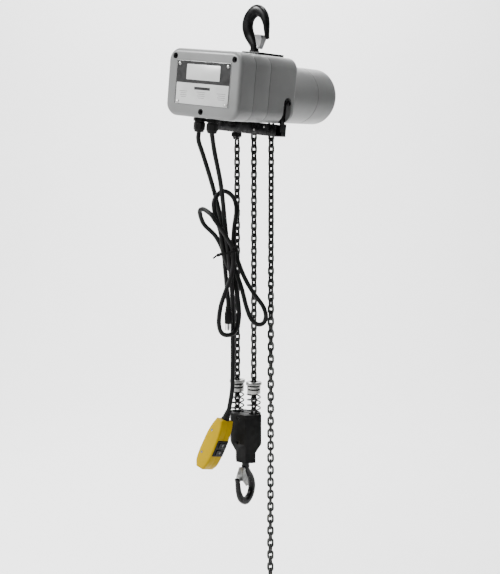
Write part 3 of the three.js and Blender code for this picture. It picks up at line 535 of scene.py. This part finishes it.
def cord_tie(plastic):
    lean = Matrix.Rotation(math.radians(-TIE_LEAN), 4, "Y")
    place = CABLE_PLANE @ Matrix.Translation((TIE_U, TIE_D, TIE_Z)) @ lean
    section = [(-0.6, -2), (0.6, -2), (0.7, 0), (0.6, 2), (-0.6, 2), (-0.7, 0)]
    loops = []
    for x, y in round_rect(35.4, 33.4, 7.7):
        outward = Vector((x, y, 0)).normalized()
        loops.append([Vector((x, y, h)) + outward * t for t, h in section])
    head = box(-22.5, -17.2, -9.5, -4.5, -2.8, 2.8)
    tail = loft([[(-22 - 9 * t, -7 - 4 * t, h - 3.5 * t) for h in (-1.8, 1.8)]
                 + [(-22 - 9 * t, -5.8 - 4 * t, h - 3.5 * t) for h in (1.8, -1.8)] for t in (0, 0.5, 1)])
    shapes = [loft(loops, closed=True), head, tail]
    tie = make("cord_tie_strap", shapes, plastic, "hoist", place)
    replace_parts(soften(tie, 0.25, 2), "cord_tie")
    return tie


def make_cords(rubber, plastic, metal):
    exits = {x: TILTED @ Vector((x, GLAND_Y, -218.6)) for x in (POWER_GLAND_X, CONTROL_GLAND_X)}
    first = [exits[POWER_GLAND_X], TILTED @ Vector((POWER_GLAND_X, GLAND_Y, -232))]
    end = CABLE_PLANE @ Vector((PLUG_U, PLUG_D, PLUG_TOP - 1))
    route = [*first, *(CABLE_PLANE @ Vector(p) for p in POWER_ROUTE), end]
    power = cord_curve("power_cord_flex", route, rubber)
    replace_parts(power, "power_cord")
    on_power = [*power_plug(rubber, metal), cord_tie(plastic)]

    into_relief = PENDANT @ Vector((0, 0, 20))
    route = [exits[CONTROL_GLAND_X], *(CABLE_PLANE @ Vector(p) for p in PENDANT_ROUTE), into_relief]
    control = cord_curve("pendant_cable_flex", route, rubber)
    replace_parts(control, "pendant_cable")


# ---------------------------------------------------------------- chain
def chain_link(radius):
    """A round link standing along Z in the XZ plane."""
    bend = (LINK_WIDTH - LINK_WIRE) / 2
    half = (LINK_PITCH + LINK_WIRE) / 2 - bend
    path = arc(bend, 0, half, 0, 180, 8) + arc(bend, 0, -half, 180, 360, 8)
    return tube([(x, 0, z) for x, z in path], radius, 8, closed=True)


def link_row(places, radius=LINK_WIRE / 2):
    """Links at (point, direction, turn) places; turn is the angle about the direction."""
    shape = chain_link(radius)
    rows = []
    for point, direction, turn in places:
        matrix = (Matrix.Translation(point) @ direction.to_track_quat("Z", "Y").to_matrix().to_4x4()
                  @ Matrix.Rotation(turn, 4, "Z"))
        rows.append(([matrix @ Vector(p) for p in shape[0]], shape[1]))
    return rows


DOWN = Vector((0, 0, -1))


def quarter_turn(z):
    """Links hang alternately across and along, and keep their places where two pieces of chain meet."""
    return math.pi / 2 * (math.floor((FALL_JOIN_Z - z) / LINK_PITCH) % 2)


def straight_links(x, top, count, twist=lambda z: 0.0):
    places = []
    for i in range(count):
        z = top - LINK_PITCH * (i + 0.5)
        places.append((Vector((x, 0, z)), DOWN, twist(z) + quarter_turn(z)))
    return places


def bent_links(x, z, side, between=5):
    """Links round a wheel from its left to its right, side +1 over it and -1 under it."""
    places = []
    for i in range(between):
        angle = math.pi * (1 - (i + 1) / (between + 1))
        point = Vector((x + FALL_RADIUS * math.cos(angle), 0, z + side * FALL_RADIUS * math.sin(angle)))
        along = Vector((math.sin(angle), 0, -side * math.cos(angle)))
        places.append((point, along, math.pi / 2 * (i % 2)))
    return places


def slack_twist(z):
    """The free end turns slowly as it comes down."""
    start, reach = -200, 860
    return math.radians(78) * min(1.0, max(0.0, (start - z) / reach)) ** 1.25


def make_chain(steel, plastic):
    above = 21
    top = FALL_JOIN_Z + above * LINK_PITCH
    live_count = round((SHEAVE_Z - FALL_JOIN_Z) / LINK_PITCH)
    live = straight_links(LIVE_X, FALL_JOIN_Z + live_count * LINK_PITCH, live_count)
    slack_top = FALL_JOIN_Z + live_count * LINK_PITCH
    slack_count = int((slack_top - SLACK_END_Z) / LINK_PITCH)
    slack = straight_links(SLACK_X, slack_top, slack_count, slack_twist)
    over = bent_links(LIVE_X + FALL_RADIUS, SHEAVE_Z, 1)
    upper = make("load_chain_links", link_row(live + over + slack), steel, "hoist")
    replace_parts(upper, "load_chain_upper")
    dead_rows = link_row(straight_links(DEAD_X, top, above))
    dead = make("dead_fall_links", dead_rows, steel, "hoist")
    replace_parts(dead, "dead_fall_upper")
    # The lower links overlap the upper ones as the block rises, and nothing here prevents that.
    # They are a hair thinner, so that they hide inside the upper ones at full lift, 20 links up.
    count = round((FALL_JOIN_Z - IDLER_Z) / LINK_PITCH)
    falls = straight_links(DEAD_X, FALL_JOIN_Z, count) + straight_links(LIVE_X, FALL_JOIN_Z, count)
    under = bent_links(BLOCK_X, IDLER_Z, -1)
    rows = link_row(falls + under, LINK_WIRE / 2 - 0.04)
    lower = make("block_chain_links", rows, steel, "hook_block")
    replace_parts(lower, "load_chain_lower")
    refine("chain_stop", plastic, 1.0)


# ---------------------------------------------------------------- hooks
def hook_forging(shank_end, girth):
    """The curved limb as a run of rounded sections, thick at the back and fine at the tip."""
    stations = smooth_line([Vector((h, z, half)) for h, z, half in HOOK_LINE], 6)
    centres = [Vector((p.x, 0, p.y)) for p in stations]
    loops = []
    last = len(centres) - 1
    for i, (centre, station) in enumerate(zip(centres, stations)):
        tangent = (centres[min(i + 1, last)] - centres[max(i - 1, 0)]).normalized()
        across = Vector((tangent.z, 0, -tangent.x))
        scale = 1 + (girth - 1) * math.sin(math.pi * (i / last) ** 0.8)
        thick = 7.6 - 2.8 * max(0.0, i / last - 0.55) / 0.45
        loops.append(section_loop(centre, across, station.z * scale, thick * min(scale, 1.0)))
    tip = (centres[-1] - centres[-2]).normalized()
    across = Vector((tip.z, 0, -tip.x))
    for angle in (25, 50, 70, 84):
        a = math.radians(angle)
        point = centres[-1] + tip * HOOK_LINE[-1][2] * math.sin(a)
        loops.append(section_loop(point, across, HOOK_LINE[-1][2] * math.cos(a), 4.8 * math.cos(a)))
    shank = turned([(6.4, shank_end), (7.3, shank_end + 1), (7.3, -78), (7.3, -62)], 32)
    return [loft(loops), shank]


def section_loop(centre, across, half, thick, count=24):
    """A rounded-square section: half across the limb, thick along Y."""
    loop = []
    for i in range(count):
        a = 2 * math.pi * i / count
        c, s = math.cos(a), math.sin(a)
        u = math.copysign(abs(c) ** 0.75, c) * half
        v = math.copysign(abs(s) ** 0.75, s) * thick
        loop.append(centre + across * u + Vector((0, v, 0)))
    return loop


def latch_lug():
    px, pz = LATCH_PIVOT
    ear = prism_y(lambda inset: arc(3.6 - inset, px, pz, 0, 345, 23), -3.6, 3.6, 0.8, 0.8, 3)
    root = box(0, px, -3.3, 3.3, pz - 3, pz + 3)
    return [loft(ear), root]


def latch_half(z):
    """Half the width of the latch, which spreads towards its free end."""
    return 5.6 + 3.4 * (z - LATCH_PIVOT[1]) / (LATCH_END_Z - LATCH_PIVOT[1])


def spring_latch(tongue):
    """A pressed latch: two cheeks on the pin, drawn out into tongues, and a web round their edges."""
    px, pz = LATCH_PIVOT
    outline = [(px - 2.4, pz - 3.6), (px + 3.6, pz - 3.6), (20, -42), (19.4, LATCH_END_Z),
               (12, -35.2 + tongue), (5, -35.5 + tongue), (4, -35.5), (px - 2.8, pz + 2)]
    cheeks = [loft([[(x, hand * (latch_half(z) - depth), z) for x, z in outline] for depth in (1.2, 0)])
              for hand in (-1, 1)]
    web = [((px + 3.6, pz - 3.6), (px + 2.6, pz - 2.9)), ((20, -42), (18.8, -42)),
           ((19.4, LATCH_END_Z), (18.2, -36.2)), ((4, -35.5), (4.6, -36.7))]
    strip = loft([[(x, side * latch_half(z), z) for x, z, side in (
        (*outer, -1), (*outer, 1), (*inner, 1), (*inner, -1))] for outer, inner in web])
    pin = moved(turned([(0, -6.8), (2.2, -6.6), (2.4, -5.8), (1.6, -5.6), (1.6, 5.6), (2.4, 5.8), (2.2, 6.6),
                        (0, 6.8)], 20), px, 0, pz, Z_TO_Y)
    return [*cheeks, strip, pin]


def make_hooks(paint, zinc, steel):
    load = (Matrix.Translation((BLOCK_X, 0, LOAD_HOOK_Z)) @ Matrix.Rotation(math.radians(90), 4, "Z")
            @ Matrix.Rotation(math.pi, 4, "Y"))
    for name, body, latch_body, place, end, girth, tongue, finish in (
            ("top_hook", "top_hook_assembly", "top_latch", TILTED, -94, 1.2, 1, steel),
            ("load_hook", "lower_hook", "lower_latch", load, -90, 0.8, 11, zinc)):
        shapes = [*hook_forging(end, girth), *latch_lug()]
        limb = make(f"{name}_forging", shapes, paint, body, place, 50)
        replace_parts(limb, name)
        latch = make(f"{name}_latch_plate", spring_latch(tongue), finish, latch_body, place)
        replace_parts(soften(latch, 0.5), f"{name}_latch")
    refine("top_hook_nut", steel, 0.4)
    refine("load_hook_nut", steel, 0.4)
    collar = turned([(7.35, -66.3), (9.2, -66.1), (9.2, -63.8), (8.4, -62.8), (7.35, -62.2)], 32)
    make("top_hook_collar", [collar], paint, "top_hook_assembly", TILTED)


# ---------------------------------------------------------------- casing
def case_outline(inset):
    height, middle = CASE_TOP - CASE_BOTTOM, (CASE_TOP + CASE_BOTTOM) / 2
    return round_rect(CASE_WIDTH - 2 * inset, height - 2 * inset, CASE_CORNER - inset, 0, middle, 12)


def screw_pit(x, z, radius, depth):
    return moved(turned([(radius, COVER_FRONT - 2), (radius, COVER_FRONT + depth)], 28), x, 0, z, Z_TO_Y)


def make_cover(paint):
    front = prism_y(case_outline, COVER_FRONT, COVER_BACK, 8, 1.6, 8)
    recess = round_rect(125, 78, 2.5, 0, PLATE_Z, 12)
    inner = [along_y(recess, COVER_FRONT + 1), along_y(recess, COVER_FRONT)]
    cover = make("front_cover_shell", [loft([*inner, *front])], paint, "hoist", TILTED)
    pits = [screw_pit(x, z, 5.6, 7) for x, z in COVER_SCREWS]
    hole = turned([(7.3, CASE_BOTTOM - 2), (7.3, CASE_BOTTOM + 9)], 28)
    holes = [moved(hole, x, GLAND_Y) for x in (POWER_GLAND_X, CONTROL_GLAND_X)]
    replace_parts(carve(cover, [*pits, *holes], TILTED), "front_cover")


def make_casing(paint):
    make_cover(paint)
    middle = prism_y(case_outline, COVER_BACK + 0.3, GEARCASE_BACK - 0.3, 1.6, 1.6, 3)
    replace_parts(make("gear_case_shell", [loft(middle)], paint, "hoist", TILTED), "gear_case")
    rear = prism_y(case_outline, GEARCASE_BACK, HOUSING_BACK, 1.6, 5.5, 6)
    housing = make("rear_housing_shell", [loft(rear)], paint, "hoist", TILTED)
    below, inside = CASE_BOTTOM - 3, CASE_BOTTOM + 9
    slots = []
    for side in (-1, 1):
        outline = [(-7.5, below), (16, below)] + arc(11.75, 4.25, -156, 0, 180, 20)
        slots.append(loft([[(x, y, z) for y, z in outline] for x in sorted((side * 68.5, side * 86))]))
    chain_mouth = box(-22, 62, -9, 9, below, inside)
    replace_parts(carve(housing, [*slots, chain_mouth], TILTED), "rear_housing")


def make_motor(paint):
    place = TILTED @ (Matrix.Translation((0, 0, MOTOR_Z)) @ Z_TO_Y)
    bore, lip, sides = MOTOR_RADIUS - 3, MOTOR_RADIUS - 1, 96
    wall = [(bore, HOUSING_BACK + 0.3), (lip, HOUSING_BACK + 0.3), (MOTOR_RADIUS, HOUSING_BACK + 1.3),
            (MOTOR_RADIUS, MOTOR_SEAM - 1.2), (lip, MOTOR_SEAM), (bore, MOTOR_SEAM)]
    shell = make("motor_shell_tube", [turned_ring(wall, sides)], paint, "hoist", place)
    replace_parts(shell, "motor_shell")
    corner = [(MOTOR_RADIUS - 9 + r, MOTOR_END - 9 + y) for r, y in arc(9, 0, 0, 0, 90, 10)]
    cap = [(0, MOTOR_SEAM + 20), (bore, MOTOR_SEAM + 0.3), (lip, MOTOR_SEAM + 0.3),
           (MOTOR_RADIUS, MOTOR_SEAM + 1.5), *corner, (30, MOTOR_END), (29, MOTOR_END - 0.5),
           (28, MOTOR_END - 0.5), (0, MOTOR_END - 0.5)]
    bell = make("motor_end_bell", [turned(cap, sides)], paint, "hoist", place)
    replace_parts(bell, "motor_end_cap")


def dash(x0, x1, z, height, y):
    return box(x0, x1, y, y + 0.12, z - height / 2, z + height / 2)


def thin_plate(width, height, radius, z, y0, y1, edge):
    """A plate with rounded corners, its front edge eased."""
    def outline(inset):
        return round_rect(width - 2 * inset, height - 2 * inset, radius - inset, 0, z)
    return loft(prism_y(outline, y0, y1, edge, 0.0, 2))


def make_nameplate(film, black, grey, zinc):
    face = COVER_FRONT - 0.4
    sheet = thin_plate(PLATE_WIDTH, PLATE_HEIGHT, 2.2, PLATE_Z, face, face + 1, 0.2)
    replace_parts(make("nameplate_sheet", [sheet], film, "hoist", TILTED), "nameplate")
    top, bottom = PLATE_Z + PLATE_HEIGHT / 2, PLATE_Z - PLATE_HEIGHT / 2
    split = bottom + 0.49 * PLATE_HEIGHT
    band = box(-PLATE_WIDTH / 2 + 0.4, PLATE_WIDTH / 2 - 0.4, face - 0.1, face + 0.1, split, top - 0.4)
    border = [box(x, x + 1.8, face - 0.1, face + 0.1, bottom + 0.4, split) for x in (-61.4, 59.6)]
    make("nameplate_black_band", [band, *border], black, "hoist", TILTED)
    panel = thin_plate(76, 27, 1.5, top - 19.5, face - 0.2, face, 0.1)
    make("nameplate_blank_panel", [panel], film, "hoist", TILTED)
    # Rows of plain dashes stand for the data lines; there is no lettering.
    rows = [dash(x0 + jog, x1 - jog / 2, split - 15 - 3.4 * row, 0.7, face - 0.1)
            for x0, x1 in ((-52, -34), (-12, 8), (34, 54)) for row, jog in enumerate((0, 3, 1.5, 4))]
    make("nameplate_grey_rows", rows, grey, "hoist", TILTED)
    heading = dash(-18, 18, split - 8.5, 5, face - 0.1)
    make("nameplate_heading_bar", [heading], black, "hoist", TILTED)
    stud = turned([(0, -0.2), (3.2, 0), (3.2, 0.5), (2.6, 1.2), (1.4, 1.7), (0, 1.9)], 24)
    studs = [moved(stud, x, face, z, Z_TO_FRONT) for x in (-55, 55) for z in (top - 5.5, bottom + 3.6)]
    make("nameplate_studs", studs, zinc, "hoist", TILTED)


def make_cover_screws(black):
    for number, (x, z) in enumerate(COVER_SCREWS, 1):
        head = turned([(2.7, 2.2), (2.7, 0), (4.6, 0), (5.2, 0.5), (5.2, 5), (0, 5)], 30)
        hexagon = loft([[(a, b, h) for a, b in polygon_ring(2.7, 6, 30)] for h in (2.2, 2.3)])
        shapes = [moved(shape, x, COVER_FRONT + 2.2, z, Z_TO_Y) for shape in (head, hexagon)]
        piece = make(f"cover_screw_{number}_head", shapes, black, "hoist", TILTED)
        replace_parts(piece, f"cover_screw_{number}")


def make_glands(plastic):
    rings = [(-219.3, 4.4, 0), (-219.3, 7.2, 0), (-217.8, 8.8, 0), (-214.8, 9.4, 0), (-213.8, 9.8, 6),
             (-202, 9.8, 6), (-201, 9, 0), (-200, 9, 0), (-199.6, 10.8, 6), (-194, 10.8, 6),
             (-193.5, 10, 0), (-184, 6.9, 0)]
    loops = [[(a, b, z) for a, b in polygon_ring(r, sides, 48, 0.5)] for z, r, sides in rings]
    for name, x in (("power_gland", POWER_GLAND_X), ("control_gland", CONTROL_GLAND_X)):
        shapes = [moved(loft(loops), x, GLAND_Y)]
        body = make(f"{name}_nut", shapes, plastic, "hoist", TILTED, 25)
        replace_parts(soften(body, 0.3, 2), name)


def make_limit_bar(paint, zinc):
    refine("limit_bar", paint, 0.6)
    rivet = turned([(0, -0.2), (2, 0), (1.8, 0.8), (1.0, 1.3), (0, 1.5)], 18)
    rivets = [moved(rivet, x, -13, z, Z_TO_FRONT) for x, z in ((47.5, -201), (25, -208))]
    make("limit_bar_rivets", rivets, zinc, "limit_lever", TILTED)
    screw = turned([(0, -12), (2.4, -12), (2.4, 0), (5.1, 0), (5.1, 2.4), (4.4, 3.2), (2.8, 3.2),
                    (2.6, 1.2), (0, 1.2)], 28)
    for side, name in ((-1, "left"), (1, "right")):
        turn = Matrix.Rotation(math.radians(90 * side), 4, "Y")
        shapes = [moved(screw, side * 80, 10.5, -155, turn)]
        head = make(f"limit_bar_screw_{name}_head", shapes, paint, "hoist", TILTED)
        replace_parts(head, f"limit_bar_screw_{name}")


def make_anchor(paint):
    # In the tilted frame, this is where the middle of the anchor stands over the dead fall.
    anchor_x = (DEAD_X - ANCHOR_Z * math.sin(TILT)) / math.cos(TILT)
    stations = [(-193.4, 8.5, 7, 1.5), (-206, 8.5, 7, 1.5), (-207, 6, 6, 5.9), (-217.6, 6, 6, 5.9),
                (-218.2, 8.4, 7.6, 4), (-225.4, 8.4, 7.6, 4), (-226.8, 6.4, 6, 4), (-231, 5.4, 5, 4)]
    loops = [[(x, y, z) for x, y in round_rect(2 * a, 2 * b, r)] for z, a, b, r in reversed(stations)]
    pin = moved(turned([(0, -9.4), (2.2, -9.1), (2.2, 9.1), (0, 9.4)], 18), 0, 0, -222, Z_TO_X)
    shapes = [moved(loft(loops), anchor_x), moved(pin, anchor_x)]
    piece = make("chain_anchor_boss", shapes, paint, "hoist", TILTED, 30)
    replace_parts(soften(piece, 0.4, 2), "chain_anchor")


# ---------------------------------------------------------------- hook block and its cushions
def half_hexagon(scale, hand):
    corners = [(38, 0.15), (17.8, 23.8), (-17.8, 23.8), (-38, 0.15)]
    points = [(BLOCK_X + x * scale, max(y * scale, 0.15) * hand) for x, y in corners]
    return points if hand > 0 else points[::-1]


def make_block(paint, steel):
    screw_heights = {"upper": -761, "lower": -808}
    for hand, name in ((-1, "front"), (1, "rear")):
        stations = [(BLOCK_BOTTOM, NECK_SCALE), (NECK_TOP, NECK_SCALE), (BLOCK_SHOULDER, 1), (BLOCK_RIM, 1)]
        loops = [[(x, y, z) for x, y in half_hexagon(scale, hand)] for z, scale in stations]
        half = make(f"block_shell_{name}", [loft(loops)], paint, "hook_block")
        bore = turned([(8.8, -775), (8.8, BLOCK_RIM - 2), (11, BLOCK_RIM + 1)], 32)
        bores = [moved(bore, x) for x in (DEAD_X, LIVE_X)]
        neck = moved(turned([(8.2, BLOCK_BOTTOM - 1), (8.2, BLOCK_BOTTOM + 6)], 32), BLOCK_X)
        pits = []
        if hand < 0:
            pit = turned([(3.6, -26), (3.6, -20)], 24)
            pits = [moved(pit, BLOCK_X, 0, z, Z_TO_Y) for z in screw_heights.values()]
        carve(half, [*bores, neck, *pits])
        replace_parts(soften(half, 1.3), f"block_case_{name}")
    head = turned([(1.6, 1.4), (1.6, 0), (2.8, 0), (3.2, 0.4), (3.2, 4), (0, 4)], 24)
    floor = turned([(1.6, 1.4), (0, 1.4)], 24, False)
    for name, z in screw_heights.items():
        shapes = [moved(shape, BLOCK_X, -22.4, z, Z_TO_Y) for shape in (head, floor)]
        screw = make(f"block_screw_{name}_head", shapes, steel, "hook_block")
        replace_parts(screw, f"block_screw_{name}")


def spring_line(x):
    """A wire that winds nearly flat at each end and opens out between."""
    low, high, steps = BLOCK_RIM + 1.4, CUP_BOTTOM - 1.4, 22
    total = int(SPRING_TURNS * steps)
    points = []
    for i in range(total + 1):
        t = i / total
        climb = min(1.0, max(0.0, (t - 0.04) / 0.92))
        angle = 2 * math.pi * SPRING_TURNS * t
        across, along = SPRING_RADIUS * math.cos(angle), SPRING_RADIUS * math.sin(angle)
        points.append((x + across, along, low + (high - low) * climb))
    return points


def cup_stack():
    """A bored cup with two grooves for its rubber rings and a wide lip on top."""
    profile = [(8.2, 0), (12.3, 0), (12.7, 0.4), (12.7, 6.6), (12.3, 7), (11.2, 7.4), (11.2, 9.6),
               (12.6, 10), (13, 10.4), (13, 13.2), (12.6, 13.6), (11.4, 14), (11.4, 16.4), (14.6, 17),
               (15.2, 17.8), (15.2, 21.6), (14.4, 22.8), (13.6, 23), (8.2, 23)]
    return turned_ring(profile, 48)


def rubber_ring(z):
    middle, radius = 11.7, 1.15
    return tube([(middle * c, middle * s, z) for c, s in polygon_ring(1, 0, 40)], radius, 10, True)


def make_cushions(zinc, plastic, wire):
    for name, x in (("left", DEAD_X), ("right", LIVE_X)):
        body = f"cushion_{name}"
        cup = make(f"cushion_cup_{name}_stack", [moved(cup_stack(), x, 0, CUP_BOTTOM)], zinc, body)
        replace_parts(cup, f"cushion_cup_{name}")
        rings = [moved(rubber_ring(CUP_BOTTOM + height), x) for height in (8.5, 15.2)]
        make(f"cushion_rings_{name}", rings, plastic, body)
        coil = tube(spring_line(x), 1.4, 8)
        spring = make(f"cushion_spring_{name}_wire", [coil], wire, "hook_block")
        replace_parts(spring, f"cushion_spring_{name}")
        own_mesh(spring)


# ---------------------------------------------------------------- pendant
CASE_SIDE = [(4.5, 0), (9, -14), (11.7, -30), (12.5, -45), (12.5, -70), (10.5, -85), (5, -95.5)]
CASE_HALF = 19.5


def pendant_outline(inset):
    """The side view of the pendant, 3 mm fuller than its guide points less the inset."""
    grow = 3 - inset
    side = [(p.x + grow, p.z + math.copysign(grow, p.z + 48))
            for p in smooth_line([Vector((x, 0, z)) for x, z in CASE_SIDE], 4)]
    return [(-x, z) for x, z in side] + side[::-1]


def make_pendant(yellow, black, grey, zinc, rubber):
    for hand, name in ((-1, "left"), (1, "right")):
        loops = [[(x, hand * y, z) for x, y, z in loop]
                 for loop in prism_y(pendant_outline, 0.15, CASE_HALF, 0.35, 3.5, 5)]
        half = make(f"pendant_shell_{name}", [loft(loops)], yellow, "hoist", PENDANT, 28)
        carve(half, [box(10.9, 30, -16.4, 16.4, -67.5, -34.5)], PENDANT)
        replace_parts(soften(half, 0.8, 3, 25), f"pendant_case_{name}")
    refine("switch_panel", black, 0.4)
    for name, z, hand in (("up_button", -43.3, 1), ("down_button", -58.7, -1)):
        cap = [[(x, y, zz) for y, zz in round_rect(22 - 2 * i, 11 - 2 * i, 2.5 - i, 0, z, 5)]
               for x, i in ((9.5, 0), (18, 0), (18.7, 0.4), (19, 1.2), (18.7, 2.2))]
        body = "up_switch" if hand > 0 else "down_switch"
        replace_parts(make(f"{name}_cap", [loft(cap)], black, body, PENDANT), name)
        arrow = [(0, 2.7), (-3.4, -0.2), (-1.3, -0.2), (-1.3, -2.6), (1.3, -2.6), (1.3, -0.2), (3.4, -0.2)]
        mark = loft([[(x, y, z + hand * h) for y, h in arrow] for x in (18.5, 18.95)])
        make(f"{name}_arrow", [mark], grey, body, PENDANT)
    relief = [(0, 3.3), (8, 3.3), (8.2, 4.2)]
    for ring in range(4):
        z, wide, narrow = 5 + 4.4 * ring, 7.6 - 0.45 * ring, 6.4 - 0.4 * ring
        relief += [(wide, z), (wide - 0.2, z + 2.4), (narrow, z + 2.8), (narrow, z + 4)]
    relief += [(5.6, 23), (5.3, 24), (4.4, 24)]
    boot = make("pendant_relief_boot", [turned(relief, 32)], rubber, "hoist", PENDANT)
    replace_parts(boot, "pendant_relief")
    head = turned([(0, 0), (2.4, 0), (2.4, 0.5), (1.9, 1.0), (0.8, 1.1), (0.6, 0.6), (0, 0.6)], 22)
    screws = [moved(head, x, -CASE_HALF + 0.1, z, Z_TO_FRONT) for x, z in ((-5.8, -22.5), (-7.4, -69))]
    make("pendant_case_screws", screws, zinc, "hoist", PENDANT)


# ---------------------------------------------------------------- stage
def make_stage(pale):
    """A floor that sweeps up into a wall behind the hoist."""
    floor_z, near, far, sweep, steps = -1.3, -14, 2.5, 1.5, 16
    bend = [(far + sweep * math.sin(a), floor_z + sweep * (1 - math.cos(a)))
            for a in (math.pi / 2 * i / steps for i in range(1, steps + 1))]
    profile = [(near, floor_z), (far, floor_z), *bend, (far + sweep, 4)]
    loops = [[Vector((x, y, z)) for y, z in profile] for x in (-12, 12)]
    count = len(profile)
    faces = [[i, i + 1, count + i + 1, count + i] for i in range(count - 1)]
    mesh = bpy.data.meshes.new("stage")
    turn = Matrix.Rotation(PLANE_TURN, 3, "Z")
    mesh.from_pydata([turn @ p for loop in loops for p in loop], [], faces)
    mesh.shade_smooth()
    mesh.materials.append(pale)
    stage = bpy.data.objects.new("stage", mesh)
    bpy.context.scene.collection.objects.link(stage)


def area_light(name, at, towards, size, power):
    light = bpy.data.lights.new(name, "AREA")
    light.shape = "DISK"
    light.size = size
    light.energy = power
    lamp = bpy.data.objects.new(name, light)
    bpy.context.scene.collection.objects.link(lamp)
    lamp.location = at
    lamp.rotation_mode = "QUATERNION"
    lamp.rotation_quaternion = (Vector(towards) - Vector(at)).to_track_quat("-Z", "Y")


def make_lights():
    world = bpy.data.worlds.new("studio")
    bpy.context.scene.world = world
    world.use_nodes = True
    world.node_tree.nodes["Background"].inputs["Color"].default_value = (1, 1, 1, 1)
    world.node_tree.nodes["Background"].inputs["Strength"].default_value = 0.25
    area_light("key", (-1.6, -2.4, 1.6), (0, 0, -0.4), 1.2, 370)
    area_light("top", (0.3, 0.2, 1.9), (0, 0, -0.3), 0.8, 80)
    area_light("rim", (2.4, 1.2, 0.8), (0, 0, -0.4), 1.2, 3)
    area_light("backdrop", (-1.2, 1.6, 2.2), (-2.4, 3.2, -1.1), 2.4, 240)


# ---------------------------------------------------------------- the whole hoist
make_camera()
rubber, plastic, steel, zinc = cable_rubber(), black_plastic(), machined_steel(), zinc_plate()
make_cords(rubber, plastic, steel)

paint, black, casting, chain = casing_paint(), black_paint(), black_casting(), chain_steel()
film, yellow = plate_film(), yellow_plastic()
black_ink = ink("black_ink", (0.005, 0.005, 0.0052), (0.009, 0.009, 0.009), 0.4)
grey_ink = ink("grey_ink", (0.08, 0.08, 0.08), (0.11, 0.11, 0.11), 0.5)

make_casing(paint)
make_motor(paint)
make_nameplate(film, black_ink, grey_ink, zinc)
make_cover_screws(black)
make_glands(plastic)
make_limit_bar(black, zinc)
make_anchor(black)
make_chain(chain, plastic)
make_hooks(black, zinc, steel)
make_block(casting, chain)
make_cushions(zinc, plastic, spring_steel())
make_pendant(yellow, plastic, grey_ink, zinc, rubber)
refine("suspension_plate", black, 0.6)
for node in ("load_sheave", "final_gear", "layshaft", "rotor", "brake_disc", "sheave_bearing_front",
             "hook_bearing", "sheave_bearing_rear", "rotor_bearing_front", "rotor_bearing_rear",
             "idler_axle", "idler_wheel"):
    refine(node, steel)
refine("stator", copper_winding())
refine("contactor", plastic)
refine("run_capacitor", zinc)

make_stage(pale_stage())
make_lights()
